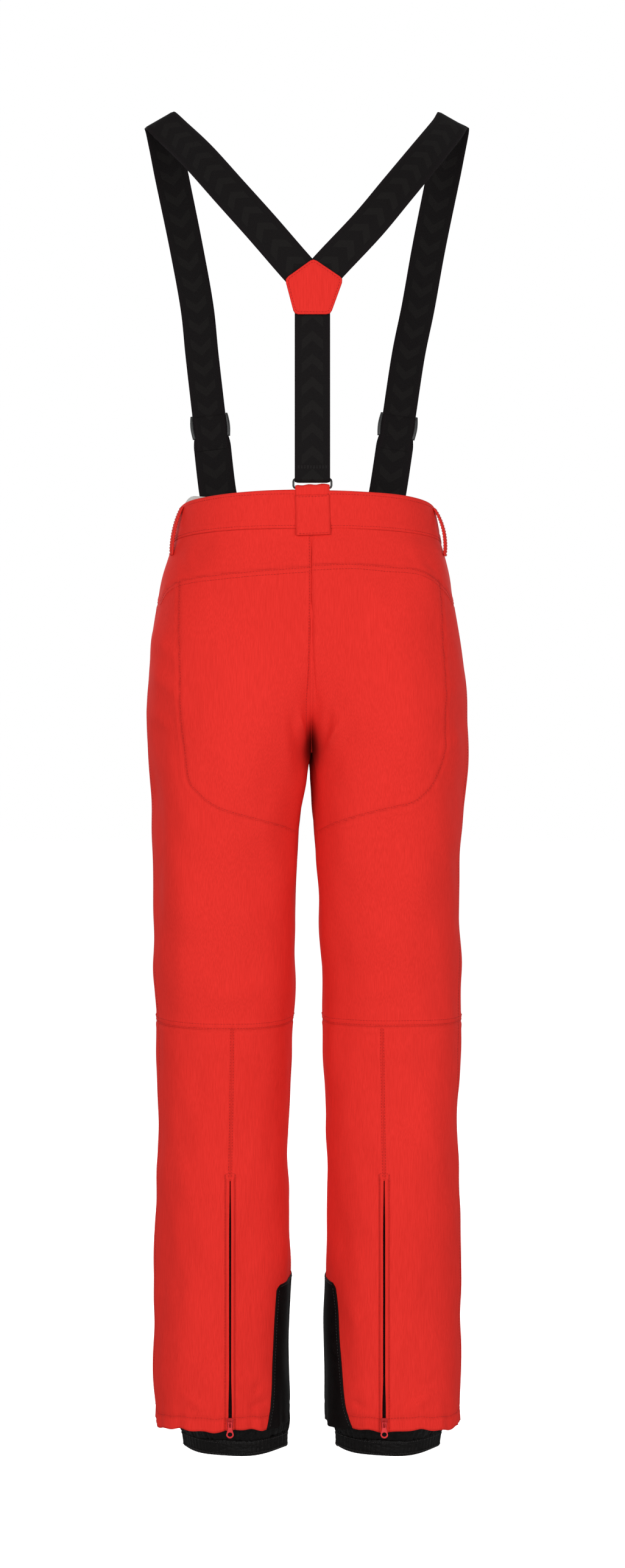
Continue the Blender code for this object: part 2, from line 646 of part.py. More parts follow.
def strap_frame(side):
    """The straight front stretch's frame: local X across, Y off the strap, Z along it."""
    high = Vector((side * FRONT_TOP[0], *FRONT_TOP[1:]))
    low = Vector((side * FRONT_LOW[0], *FRONT_LOW[1:]))
    share = (ADJUSTER_Z - low.z) / (high.z - low.z)
    along = (high - low).normalized()
    off = along.cross(Vector((1, 0, 0)))
    return frame_matrix(low + (high - low) * share, off, along)


def hang_on_knee(side_name, side):
    """Everything below the knee panel turns about the knee's bending line."""
    place = Vector((side * KNEE_X, 0.0, KNEE_Z))
    axis = bpy.data.objects.new(side_name + "_knee_axis", None)
    axis.location = place
    parts.objects.link(axis)
    for ending in ("calf_outer_panel", "calf_inner_panel", "edge_guard", "leg_zip_tape", "leg_zip_coil",
                   "leg_zip_slider", "leg_zip_puller", "gaiter", "gaiter_elastic", "boot_hook"):
        piece = bpy.data.objects[side_name + "_" + ending]
        piece.parent = axis
        piece.matrix_parent_inverse = Matrix.Translation(-place)


def make_adjuster(side_name, side):
    """A plastic slide round the front strap: the webbing runs through its slot."""
    adjuster = box("adjuster_" + side_name, (-0.0245, -0.0036, -0.0145), (0.0245, 0.0036, 0.0145),
                   strap_frame(side), GREY, 0.45)
    add_boolean(adjuster, "DIFFERENCE", (-0.0208, -0.0014, -0.020), (0.0208, 0.0014, 0.020))


def main():
    make_waist()
    make_fly()
    make_rear_fastening()
    make_back_patch()
    for side_name, side in (("left", 1), ("right", -1)):
        make_belt_loop(side_name, side)
        make_hip(side_name, side)
        make_hand_pocket(side_name, side)
        make_leg(side_name, side)
        make_leg_zip(side_name, side)
        make_gaiter(side_name, side)
        hang_on_knee(side_name, side)
        make_shoulder_strap(side_name, side)
        make_adjuster(side_name, side)


main()
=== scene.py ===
"""The looks of the ski pants: cloth shells with sewn seams, stitching, zips, webbing and gaiters."""
import json
import math

import bmesh
import bpy
import numpy as np
from mathutils import Matrix, Vector, kdtree

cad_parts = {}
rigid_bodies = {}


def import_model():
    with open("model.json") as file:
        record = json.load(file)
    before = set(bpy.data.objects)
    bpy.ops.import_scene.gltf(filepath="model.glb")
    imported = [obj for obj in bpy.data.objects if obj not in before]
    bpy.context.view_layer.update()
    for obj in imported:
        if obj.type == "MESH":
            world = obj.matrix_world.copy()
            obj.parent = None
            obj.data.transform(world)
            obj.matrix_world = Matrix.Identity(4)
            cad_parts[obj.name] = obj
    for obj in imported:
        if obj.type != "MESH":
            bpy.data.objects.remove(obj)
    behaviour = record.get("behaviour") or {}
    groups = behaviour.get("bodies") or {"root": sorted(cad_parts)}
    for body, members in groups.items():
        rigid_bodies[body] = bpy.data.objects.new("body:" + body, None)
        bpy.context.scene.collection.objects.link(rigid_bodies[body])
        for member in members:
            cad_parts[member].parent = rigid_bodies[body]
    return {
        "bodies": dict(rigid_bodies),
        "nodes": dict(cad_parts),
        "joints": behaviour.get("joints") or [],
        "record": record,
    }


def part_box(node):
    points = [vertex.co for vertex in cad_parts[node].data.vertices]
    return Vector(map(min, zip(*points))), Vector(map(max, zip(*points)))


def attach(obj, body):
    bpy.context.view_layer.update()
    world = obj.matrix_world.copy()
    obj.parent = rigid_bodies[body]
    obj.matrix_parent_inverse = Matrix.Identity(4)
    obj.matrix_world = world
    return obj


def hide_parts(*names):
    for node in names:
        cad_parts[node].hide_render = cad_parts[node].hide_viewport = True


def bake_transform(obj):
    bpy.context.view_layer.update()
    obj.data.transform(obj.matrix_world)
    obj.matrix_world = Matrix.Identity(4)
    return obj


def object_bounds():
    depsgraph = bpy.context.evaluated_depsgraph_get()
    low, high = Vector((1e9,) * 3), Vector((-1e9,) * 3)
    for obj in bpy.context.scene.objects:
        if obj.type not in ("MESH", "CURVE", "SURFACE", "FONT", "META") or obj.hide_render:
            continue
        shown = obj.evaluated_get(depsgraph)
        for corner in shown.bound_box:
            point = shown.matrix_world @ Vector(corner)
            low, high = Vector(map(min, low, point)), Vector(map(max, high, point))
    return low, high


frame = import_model()
cad_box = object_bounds()
rng = np.random.default_rng(7)

CAMERA = (-0.0061, 2.25, -0.331)       # where the photo was taken from

# Measures of the trousers, the same as in the CAD source ------------------------------------------
WAISTBAND_HEIGHT = 0.042
CROTCH_Z = -0.294
KNEE_SEAM_Z = -0.611
HEM_Z = -1.071
FRONT_DIP = 0.018
DIP_FADE = 0.095
ROUNDNESS = 2.15
STRIP_ANGLE = 20.0         # the inner leg's strip, beyond the crotch's centre line
FULL_ANGLE = 180.0 + STRIP_ANGLE
SIDE_SEAM = 14.0
# Cross-sections: z, the x of the outer side, the middle and the inner side, the depth behind and
# in front, and those depths at the inner side
SECTIONS = (
    (0.000, 0.1500, 0.0200, 0.0003, 0.1075, 0.1084, 0.1072, 0.1084),
    (-0.042, 0.1580, 0.0250, 0.0003, 0.1105, 0.1090, 0.1098, 0.1090),
    (-0.095, 0.1720, 0.0400, 0.0003, 0.1155, 0.1096, 0.1140, 0.1096),
    (-0.160, 0.1820, 0.0600, 0.0003, 0.1190, 0.1103, 0.1140, 0.1103),
    (-0.210, 0.1870, 0.0740, 0.0003, 0.1185, 0.1108, 0.1040, 0.1090),
    (-0.250, 0.1890, 0.0830, 0.0003, 0.1150, 0.1100, 0.0850, 0.0880),
    (-0.294, 0.1888, 0.0915, 0.0006, 0.1090, 0.1060, 0.0500, 0.0520),
    (-0.350, 0.1855, 0.0960, 0.0088, 0.1020, 0.1010, 0.0250, 0.0250),
    (-0.441, 0.1820, 0.0975, 0.0130, 0.0930, 0.0930, 0.0080, 0.0080),
    (-0.592, 0.1780, 0.0980, 0.0184, 0.0800, 0.0820, 0.0050, 0.0050),
    (-0.700, 0.1770, 0.0990, 0.0206, 0.0790, 0.0770, 0.0050, 0.0050),
    (-0.785, 0.1780, 0.1000, 0.0218, 0.0805, 0.0760, 0.0050, 0.0050),
    (-0.930, 0.1795, 0.1010, 0.0226, 0.0817, 0.0775, 0.0050, 0.0050),
    (-1.071, 0.1810, 0.1020, 0.0230, 0.0829, 0.0790, 0.0050, 0.0050),
)
LEG_ZIP_X = 0.088
LEG_ZIP_TOP_Z = -0.785
FLY_TOP_Z = -0.066
FLY_BOTTOM_Z = -0.185
SLIDER_STANDOFF = 0.0004
PULLER_AXIS_OUT = 0.00295
PULLER_AXIS_UP = 0.0007
POCKET_TOP = (-47.0, -0.078)           # angle and z
POCKET_BOTTOM = (-22.0, -0.215)
REAR_X = -0.006
LOOP_Y = 0.1056
RING_LOW_Z = 0.0035
RING_HIGH_Z = 0.0140
STRAP_JOIN_LOW_Z = 0.2032
STRAP_JOIN_HIGH_Z = 0.2630
FRONT_TOP = (0.1278, -0.105, 0.200)
FRONT_LOW = (0.1050, -0.095, 0.030)
ADJUSTER_Z = 0.112
ANCHOR_DEPTH = 0.0105
SIDES = (("left", 1), ("right", -1))


# Camera, floor and light --------------------------------------------------------------------------
WHITE = (1, 1, 1, 1)
LIGHTS = (                 # name, place, size, power
    ("key", (1.5, 3.1, 0.3), 2.6, 68.0),
    ("fill", (-1.8, 2.8, -0.6), 2.6, 60.0),
    ("front_left", (1.8, -2.6, 0.9), 2.4, 46.0),
    ("front_right", (-1.8, -2.6, 0.4), 2.4, 34.0),
)
LIGHTS_AIM = Vector((0, 0, -0.4))
FLOOR_DROP = 0.19          # the floor lies this far below the trousers: a mannequin holds them up


def make_camera(scene):
    """A level camera behind the wearer."""
    scene.view_settings.view_transform = "Standard"
    camera = bpy.data.objects.new("camera", bpy.data.cameras.new("camera"))
    camera.data.sensor_fit = "VERTICAL"
    camera.data.sensor_height = 24.0
    camera.data.lens = 29.03
    camera.location = CAMERA
    camera.rotation_euler = (math.radians(90), 0.0, math.radians(180))
    scene.collection.objects.link(camera)
    scene.camera = camera


def make_world(scene):
    """A white backdrop that lights the trousers less than it shows."""
    world = bpy.data.worlds.new("white_studio")
    world.use_nodes = True
    nodes, links = world.node_tree.nodes, world.node_tree.links
    backdrop = nodes["Background"]
    backdrop.inputs["Color"].default_value = WHITE
    backdrop.inputs["Strength"].default_value = 1.0
    fill = nodes.new("ShaderNodeBackground")
    fill.inputs["Color"].default_value = WHITE
    fill.inputs["Strength"].default_value = 0.30
    seen = nodes.new("ShaderNodeLightPath")
    mix = nodes.new("ShaderNodeMixShader")
    links.new(seen.outputs["Is Camera Ray"], mix.inputs["Fac"])
    links.new(fill.outputs["Background"], mix.inputs[1])
    links.new(backdrop.outputs["Background"], mix.inputs[2])
    links.new(mix.outputs["Shader"], nodes["World Output"].inputs["Surface"])
    scene.world = world


def make_lights(scene):
    """Broad soft lights, all turned to the middle of the trousers."""
    for name, place, size, power in LIGHTS:
        light = bpy.data.objects.new(name, bpy.data.lights.new(name, "AREA"))
        light.data.size = size
        light.data.energy = power
        light.location = place
        aim = LIGHTS_AIM - Vector(place)
        light.rotation_euler = aim.to_track_quat("-Z", "Y").to_euler()
        scene.collection.objects.link(light)


def make_floor(scene):
    """A pale floor that takes shadows and casts no colour back."""
    mesh = bpy.data.meshes.new("floor")
    bm = bmesh.new()
    bmesh.ops.create_grid(bm, x_segments=1, y_segments=1, size=30.0)
    bm.to_mesh(mesh)
    bm.free()
    floor = bpy.data.objects.new("floor", mesh)
    floor.location.z = cad_box[0][2] - FLOOR_DROP
    floor.visible_diffuse = False
    floor.visible_glossy = False
    scene.collection.objects.link(floor)
    pale = bpy.data.materials.new("pale_floor")
    pale.use_nodes = True
    shader = pale.node_tree.nodes["Principled BSDF"]
    shader.inputs["Base Color"].default_value = (0.96, 0.96, 0.96, 1)
    shader.inputs["Roughness"].default_value = 0.9
    shader.inputs["Specular IOR Level"].default_value = 0.0
    shader.inputs["Emission Color"].default_value = WHITE
    shader.inputs["Emission Strength"].default_value = 0.75
    mesh.materials.append(pale)


# Materials ----------------------------------------------------------------------------------------
class Nodes:
    """A short hand for building one material's node tree."""

    def __init__(self, name, roughness, metallic=0.0, sheen=0.0, specular=0.5):
        self.material = bpy.data.materials.new(name)
        self.material.use_nodes = True
        self.tree = self.material.node_tree
        self.shader = self.tree.nodes["Principled BSDF"]
        for key, value in (("Roughness", roughness), ("Metallic", metallic), ("Sheen Weight", sheen),
                           ("Sheen Roughness", 0.45), ("Specular IOR Level", specular)):
            self.shader.inputs[key].default_value = value

    def add(self, kind, inputs=(), **settings):
        node = self.tree.nodes.new("ShaderNode" + kind)
        for key, value in settings.items():
            setattr(node, key, value)
        for key, value in dict(inputs).items():
            self.feed(node.inputs[key], value)
        return node

    def feed(self, socket, value):
        """Links another node's output to a socket, or sets the socket's own value."""
        if hasattr(value, "is_output"):
            self.tree.links.new(value, socket)
        else:
            socket.default_value = value

    def noise(self, scale, detail=3.0):
        """Noise over the object's own coordinates, with a frequency along each axis."""
        source = self.add("TexCoord").outputs["Object"]
        place = self.add("Mapping", {"Vector": source, "Scale": scale}).outputs["Vector"]
        return self.add("TexNoise", {"Vector": place, "Scale": 1.0, "Detail": detail}).outputs["Fac"]

    def ramp(self, factor, low, high, start=0.0, stop=1.0):
        """Maps a factor's stretch from low to high onto start to stop."""
        node = self.add("MapRange", {"Value": factor, "From Min": low, "From Max": high,
                                     "To Min": start, "To Max": stop})
        return node.outputs["Result"]

    def math(self, operation, first, second):
        return self.add("Math", {0: first, 1: second}, operation=operation).outputs[0]

    def wave(self, place, pitch):
        """A sine wave along a place in metres."""
        return self.math("SINE", self.math("MULTIPLY", place, 2 * math.pi / pitch), 0.0)

    def mix(self, factor, first, second):
        node = self.add("Mix", data_type="RGBA")
        for key, value in ((0, factor), (6, first), (7, second)):
            self.feed(node.inputs[key], value)
        return node.outputs[2]

    def colour(self, socket):
        self.tree.links.new(socket, self.shader.inputs["Base Color"])

    def roughness(self, socket):
        self.tree.links.new(socket, self.shader.inputs["Roughness"])

    def bump(self, height, distance, strength=1.0):
        node = self.add("Bump", {"Height": height, "Distance": distance, "Strength": strength})
        self.tree.links.new(node.outputs["Normal"], self.shader.inputs["Normal"])


def rgba(red, green, blue):
    """An opaque colour."""
    return (red, green, blue, 1.0)


def softshell(name, bright, deep, painted_shade_strength):
    """Laminated stretch cloth: a fine upright grain, soft mottling, and painted shade in the seam lines, zip
    grooves, hem line and crotch hollow.
    """
    m = Nodes(name, 0.80, sheen=0.0, specular=0.06)
    grain = m.noise((1500, 1500, 55), detail=2.0)
    twill = m.noise((2600, 2600, 900), detail=1.0)
    mottle = m.noise((9, 9, 5), detail=3.0)
    tone = m.math("ADD", m.math("MULTIPLY", m.ramp(grain, 0.3, 0.7), 0.55), m.math("MULTIPLY", mottle, 0.45))
    cloth = m.mix(m.ramp(tone, 0.25, 0.8), rgba(*deep), rgba(*bright))
    line = m.add("Attribute", attribute_name="seam").outputs["Fac"]
    # painted shade: the seam attribute darkens the cloth toward near black in grooves and the crotch hollow
    m.colour(m.mix(m.math("MULTIPLY", line, painted_shade_strength), cloth, rgba(0.030, 0.0015, 0.0012)))
    height = m.math("ADD", m.math("MULTIPLY", grain, 0.16), m.math("MULTIPLY", twill, 0.10))
    m.bump(height, 0.0006, 0.8)
    return m.material


WEBBING_MIDDLE = 0.020
RIB_PITCH = 0.0011
WEFT_PITCH = 0.0016
MOTIF_PITCH = 0.026
MOTIF_SLANT = 0.9
MOTIF_EDGE = (0.0118, 0.0124)
DARK_EDGE = (0.0160, 0.0172)


def webbing_material(name, base, light, motif):
    """Elastic webbing: ribs along it, weft across it, and a faint woven row of chevrons."""
    m = Nodes(name, 0.75, sheen=0.02, specular=0.12)
    uv = m.add("UVMap", uv_map="cloth").outputs["UV"]
    split = m.add("SeparateXYZ", {"Vector": uv})
    across, along = split.outputs["X"], split.outputs["Y"]
    ribs = m.wave(across, RIB_PITCH)
    weft = m.wave(along, WEFT_PITCH)
    centred = m.math("ABSOLUTE", m.math("SUBTRACT", across, WEBBING_MIDDLE), 0.0)
    slope = m.math("ADD", along, m.math("MULTIPLY", centred, MOTIF_SLANT))
    inside = m.ramp(centred, *MOTIF_EDGE, 1.0, 0.0)
    figure = m.math("MULTIPLY", m.ramp(m.wave(slope, MOTIF_PITCH), 0.15, 0.35), inside)
    edge = m.ramp(centred, *DARK_EDGE)
    speck = m.noise((900, 900, 900), detail=1.0)
    flecks = m.math("MULTIPLY", m.ramp(speck, 0.35, 0.75), 0.25)
    shade = m.math("ADD", m.math("MULTIPLY", figure, motif), flecks)
    body = m.mix(shade, rgba(*base), rgba(*light))
    m.colour(m.mix(m.math("MULTIPLY", edge, 0.6), body, rgba(0.008, 0.005, 0.006)))
    height = m.math("ADD", m.math("MULTIPLY", ribs, 0.30), m.math("MULTIPLY", weft, 0.22))
    m.bump(m.math("ADD", height, m.math("MULTIPLY", figure, 0.5)), 0.0003, 0.7)
    return m.material


def plain_material(name, base, light, roughness, grain, bump, metallic=0.0, sheen=0.0, specular=0.5):
    """Moulded plastic, metal, thread or coated cloth: a grain in colour, gloss and height."""
    m = Nodes(name, roughness, metallic, sheen, specular)
    fine = m.noise((grain, grain, grain), detail=3.0)
    broad = m.noise((grain / 14, grain / 14, grain / 14), detail=2.0)
    m.colour(m.mix(m.ramp(m.math("MULTIPLY", fine, broad), 0.12, 0.40), rgba(*base), rgba(*light)))
    m.roughness(m.ramp(broad, 0.2, 0.8, roughness - 0.08, roughness + 0.08))
    m.bump(fine, bump, 0.6)
    return m.material


def crinkle_material(name):
    """Thin black nylon: fine creases in height, their crests painted lighter as a painted sheen."""
    m = Nodes(name, 0.46, sheen=0.0, specular=0.14)
    creases = m.noise((150, 150, 260), detail=6.0)
    weave = m.noise((1800, 1800, 1800), detail=1.0)
    # painted sheen: the crease crests are coloured lighter
    m.colour(m.mix(m.ramp(creases, 0.35, 0.75), rgba(0.0016, 0.0012, 0.0012), rgba(0.0052, 0.0042, 0.0040)))
    m.roughness(m.ramp(creases, 0.3, 0.7, 0.38, 0.60))
    m.bump(m.math("ADD", creases, m.math("MULTIPLY", weave, 0.08)), 0.0022, 0.7)
    return m.material


def make_materials():
    """Every look of the trousers, by a short name."""
    return {
        # the last number is how far the painted shade darkens the red
        "red": softshell("red_softshell", (0.800, 0.034, 0.026), (0.700, 0.026, 0.019), 0.11),
        "red_thread": plain_material(
            "red_thread", (0.42, 0.012, 0.010), (0.60, 0.024, 0.018), 0.60, 4000, 0.0001, specular=0.2),
        # seam lines: tubes on the seams' folds, a darker red that is partly painted shade of the seam's ditch
        "seam": plain_material(
            "seam_fold_painted_shade", (0.50, 0.018, 0.014), (0.62, 0.024, 0.018), 0.85, 900, 0.0001, specular=0.1),
        "black_thread": plain_material(
            "black_thread", (0.012, 0.010, 0.010), (0.03, 0.026, 0.026), 0.5, 4000, 0.0001),
        "lining": plain_material(
            "brushed_lining", (0.50, 0.47, 0.44), (0.66, 0.63, 0.60), 0.9, 900, 0.0004, sheen=0.3),
        "webbing": webbing_material("webbing", (0.0046, 0.0034, 0.0036), (0.0110, 0.0098, 0.0090), 0.45),
        "guard": plain_material(
            "guard_cloth", (0.0014, 0.0008, 0.0008), (0.0048, 0.0026, 0.0026), 0.70, 1500, 0.0003,
            specular=0.12),
        "gaiter": crinkle_material("crinkled_nylon"),
        "tape": plain_material(
            "zip_tape", (0.008, 0.003, 0.003), (0.020, 0.007, 0.007), 0.8, 1500, 0.0002, specular=0.1),
        "zip_plastic": plain_material(
            "zip_plastic", (0.40, 0.012, 0.013), (0.54, 0.020, 0.021), 0.5, 2200, 0.00006, specular=0.2),
        "plastic": plain_material(
            "moulded_plastic", (0.016, 0.017, 0.0165), (0.030, 0.031, 0.031), 0.42, 2200, 0.00006),
        "coil": plain_material(
            "coil_nylon", (0.010, 0.003, 0.003), (0.030, 0.009, 0.009), 0.42, 3000, 0.00006, specular=0.2),
        "puller": plain_material(
            "puller_rubber", (0.62, 0.022, 0.028), (0.80, 0.050, 0.055), 0.5, 1200, 0.00008, specular=0.25),
        "steel": plain_material(
            "steel", (0.42, 0.42, 0.43), (0.60, 0.60, 0.61), 0.3, 900, 0.00005, metallic=1.0),
    }


make_camera(bpy.context.scene)
make_world(bpy.context.scene)
make_lights(bpy.context.scene)
make_floor(bpy.context.scene)
LOOKS = make_materials()


# Mesh helpers -------------------------------------------------------------------------------------
def new_object(name, mesh, *materials):
    """An object of a mesh, with looks by their short names."""
    obj = bpy.data.objects.new(name, mesh)
    for material in materials:
        mesh.materials.append(LOOKS[material])
    bpy.context.scene.collection.objects.link(obj)
    return obj


def mesh_from(name, points, faces):
    """A smooth mesh from an (n, 3) array of points and an (m, 4) array of corners."""
    mesh = bpy.data.meshes.new(name)
    corners = np.asarray(faces, dtype=np.int32)
    mesh.vertices.add(len(points))
    mesh.vertices.foreach_set("co", np.asarray(points, dtype=np.float32).ravel())
    mesh.loops.add(corners.size)
    mesh.loops.foreach_set("vertex_index", corners.ravel())
    mesh.polygons.add(len(corners))
    mesh.polygons.foreach_set("loop_start", np.arange(0, corners.size, corners.shape[1], dtype=np.int32))
    mesh.update(calc_edges=True)
    mesh.validate()
    mesh.shade_smooth()
    return mesh


def grid_faces(rows, columns, closed=False):
    """The quads of a grid of points; closed joins the last column to the first."""
    index = np.arange(rows * columns).reshape(rows, columns)
    if closed:
        index = np.hstack([index, index[:, :1]])
    return np.stack([index[:-1, :-1], index[1:, :-1], index[1:, 1:], index[:-1, 1:]], axis=-1).reshape(-1, 4)


def set_uv(mesh, uv):
    """Lays out the mesh by one (u, v) pair a vertex, in metres."""
    layer = mesh.uv_layers.new(name="cloth")
    corners = np.zeros(len(mesh.loops), dtype=np.int32)
    mesh.loops.foreach_get("vertex_index", corners)
    layer.data.foreach_set("uv", np.asarray(uv, dtype=np.float32)[corners].ravel())


def thicken(obj, thickness, offset=-1.0, inner_material=0, full=None):
    """Gives a sheet its thickness; where full is given and false it is only a sixth of that."""
    solid = obj.modifiers.new("thickness", "SOLIDIFY")
    solid.thickness = thickness
    solid.offset = offset
    solid.material_offset = inner_material
    if full is not None:
        group = obj.vertex_groups.new(name="full_thickness")
        group.add(np.flatnonzero(full).tolist(), 1.0, "REPLACE")
        solid.vertex_group = group.name
        solid.thickness_vertex_group = 1 / 6
    graph = bpy.context.evaluated_depsgraph_get()
    mesh = bpy.data.meshes.new_from_object(obj.evaluated_get(graph), depsgraph=graph)
    mesh.name = obj.name
    obj.modifiers.clear()
    obj.data = mesh


def recalculate(mesh):
    """Turns the faces outward."""
    bm = bmesh.new()
    bm.from_mesh(mesh)
    bmesh.ops.recalc_face_normals(bm, faces=bm.faces)
    bm.to_mesh(mesh)
    bm.free()


def smooth_curve(points, spacing):
    """Evenly spaced points on a smooth curve through a few given ones, in any dimension."""
    knots = np.asarray(points, dtype=float)
    padded = np.vstack([2 * knots[0] - knots[1], knots, 2 * knots[-1] - knots[-2]])
    dense = []
    for k in range(len(knots) - 1):
        a, b, c, d = padded[k:k + 4]
        t = np.linspace(0, 1, 40, endpoint=k == len(knots) - 2)[:, None]
        dense.append(0.5 * (2 * b + (c - a) * t + (2 * a - 5 * b + 4 * c - d) * t**2
                            + (3 * b - a - 3 * c + d) * t**3))
    dense = np.vstack(dense)
    run = run_length(dense)
    steps = max(int(round(run[-1] / spacing)), 2)
    marks = np.linspace(0, run[-1], steps + 1)
    return np.stack([np.interp(marks, run, dense[:, k]) for k in range(dense.shape[1])], axis=1)


def run_length(path):
    """The distance along a path at each of its points."""
    return np.concatenate([[0], np.cumsum(np.linalg.norm(np.diff(path, axis=0), axis=1))])


def repeated(direction, count):
    """The same direction for each of count points."""
    return np.repeat(np.asarray([direction], dtype=float), count, axis=0)


def smoothstep(t):
    """Eases from 0 at 0 to 1 at 1."""
    t = np.clip(t, 0, 1)
    return t * t * (3 - 2 * t)


def unit(vectors):
    """The vectors at length 1."""
    return vectors / np.maximum(np.linalg.norm(vectors, axis=-1, keepdims=True), 1e-12)


class Gather:
    """Collects many small swept pieces, such as stitches and teeth, into one mesh."""

    def __init__(self):
        self.points, self.faces, self.count = [], [], 0

    def add(self, points, faces):
        self.points.append(np.asarray(points, dtype=float).reshape(-1, 3))
        self.faces.append(np.asarray(faces) + self.count)
        self.count += len(self.points[-1])

    def tube(self, path, normals, width, height, sides=6, closed=False):
        """A line of oval section along a path."""
        path = np.asarray(path, dtype=float)
        tangent = unit(np.roll(path, -1, 0) - np.roll(path, 1, 0) if closed else np.gradient(path, axis=0))
        normal = unit(normals - tangent * np.sum(normals * tangent, axis=1, keepdims=True))
        across = np.cross(tangent, normal)
        turn = np.arange(sides) * 2 * math.pi / sides
        ring = (across[:, None] * (width / 2 * np.cos(turn))[None, :, None]
                + normal[:, None] * (height / 2 * np.sin(turn))[None, :, None])
        points = path[:, None] + ring
        if closed:
            points = np.concatenate([points, points[:1]])
        else:
            start, stop = path[:1, None] + ring[:1] * 0.02, path[-1:, None] + ring[-1:] * 0.02
            points = np.concatenate([start, points, stop])
        self.add(points, grid_faces(len(points), sides, closed=True))

    def stitches(self, path, normals, pitch=0.0034, length=0.0026, thread=0.00055, lift=0.0001):
        """A row of short threads along a path, each with its ends dipping into the cloth."""
        path = np.asarray(path, dtype=float)
        run = run_length(path)
        count = max(int(run[-1] / pitch), 1)
        starts = (np.arange(count) + 0.5) * run[-1] / count - length / 2
        shape = np.array([0.0, 0.12, 0.5, 0.88, 1.0])
        rise = np.array([-0.7, 0.0, 0.55, 0.0, -0.7]) * thread
        girth = np.array([0.25, 0.9, 1.0, 0.9, 0.25]) * thread / 2
        marks = starts[:, None] + shape[None] * length
        spine = np.stack([np.interp(marks, run, path[:, k]) for k in range(3)], axis=-1)
        up = unit(np.stack([np.interp(marks, run, normals[:, k]) for k in range(3)], axis=-1))
        along = unit(spine[:, -1:] - spine[:, :1])
        across = np.cross(along, up)
        spine = spine + up * (rise + lift)[None, :, None]
        turn = np.arange(5) * 2 * math.pi / 5
        ring = (across[:, :, None] * (girth[None, :, None] * np.cos(turn))[..., None]
                + up[:, :, None] * (girth[None, :, None] * np.sin(turn))[..., None])
        points = (spine[:, :, None] + ring).reshape(count, 25, 3)
        faces = grid_faces(5, 5, closed=True)
        every = (faces[None] + (np.arange(count) * 25)[:, None, None]).reshape(-1, 4)
        self.add(points, every)

    def box(self, matrix, low, high):
        """A plain block in a local frame, for teeth and small lugs."""
        corners = np.array([(x, y, z) for x in (low[0], high[0]) for y in (low[1], high[1])
                            for z in (low[2], high[2])])
        frame = np.array(matrix)
        faces = [(0, 1, 3, 2), (4, 6, 7, 5), (0, 4, 5, 1), (2, 3, 7, 6), (0, 2, 6, 4), (1, 5, 7, 3)]
        self.add(corners @ frame[:3, :3].T + frame[:3, 3], faces)

    def make(self, name, material):
        mesh = mesh_from(name, np.vstack(self.points), np.vstack(self.faces))
        return new_object(name, mesh, material)


# The cloth's surface ------------------------------------------------------------------------------
TABLE = np.array(SECTIONS)


def sections_at(z):
    """The seven measures of the cross-section at each height, on smooth curves through SECTIONS."""
    levels = TABLE[:, 0]
    z = np.clip(np.asarray(z, dtype=float), levels[-1], levels[0])
    low = np.clip(np.searchsorted(-levels, -z), 1, len(levels) - 1)
    before, top = TABLE[np.maximum(low - 2, 0)], TABLE[low - 1]
    bottom, after = TABLE[low], TABLE[np.minimum(low + 1, len(levels) - 1)]
    span = (bottom - top)[..., :1]
    t = (z[..., None] - top[..., :1]) / span
    slope_top = (bottom - before) / (bottom - before)[..., :1] * span
    slope_bottom = (after - top) / (after - top)[..., :1] * span
    values = ((2 * t**3 - 3 * t**2 + 1) * top + (t**3 - 2 * t**2 + t) * slope_top
              + (3 * t**2 - 2 * t**3) * bottom + (t**3 - t**2) * slope_bottom)
    return np.moveaxis(values[..., 1:], -1, 0)


def bare_points(side, angle, z):
    """The CAD's outer face: 0 is the outer side, 90 the back, -90 the front, 200 the inner leg."""
    angle, z = np.broadcast_arrays(np.asarray(angle, dtype=float), np.asarray(z, dtype=float))
    angle = np.where(angle > FULL_ANGLE, angle - 2 * FULL_ANGLE, angle)
    angle = np.where(angle < -FULL_ANGLE, angle + 2 * FULL_ANGLE, angle)
    outer, middle, inner, back, front, back_end, front_end = sections_at(z)
    behind = angle >= 0
    depth = np.where(behind, back, front)
    end = np.where(behind, back_end, front_end)
    turn = np.abs(angle)
    power = 2 / ROUNDNESS
    first = np.radians(np.clip(turn, 0, 90))
    second = np.radians(np.clip(turn - 90, 0, 90))
    x = np.where(turn <= 90, middle + (outer - middle) * np.clip(np.cos(first), 0, 1)**power,
                 middle - (middle - inner) * np.clip(np.sin(second), 0, 1)**power)
    y = np.where(turn <= 90, depth * np.clip(np.sin(first), 0, 1)**power,
                 end + (depth - end) * np.clip(np.cos(second), 0, 1)**power)
    y = np.where(turn > 180, end * (1 - (turn - 180) / STRIP_ANGLE), y)
    y = np.where(behind, y, -y)
    dip = FRONT_DIP / 2 * (1 - y / 0.1075) * np.maximum(0, 1 + z / DIP_FADE)
    return np.stack([side * x, y, z - dip], axis=-1)


def normals_at(side, angle, z):
    """The directions off the CAD's outer face."""
    around = bare_points(side, np.asarray(angle) + 0.5, z) - bare_points(side, np.asarray(angle) - 0.5, z)
    upward = bare_points(side, angle, np.asarray(z) + 0.002) - bare_points(side, angle, np.asarray(z) - 0.002)
    return unit(np.cross(around, upward) * side)


def angle_at(z, x, behind=True):
    """The angle at which the cloth's back or front is x from the centre line."""
    z, x = np.broadcast_arrays(np.asarray(z, dtype=float), np.asarray(x, dtype=float))
    outer, middle, inner = sections_at(z)[:3]
    outside = np.degrees(np.arccos(np.clip((x - middle) / (outer - middle), 0, 1)**(ROUNDNESS / 2)))
    inside = 90 + np.degrees(np.arcsin(np.clip((middle - x) / (middle - inner), 0, 1)**(ROUNDNESS / 2)))
    turn = np.where(x >= middle, outside, inside)
    return turn if behind else -turn
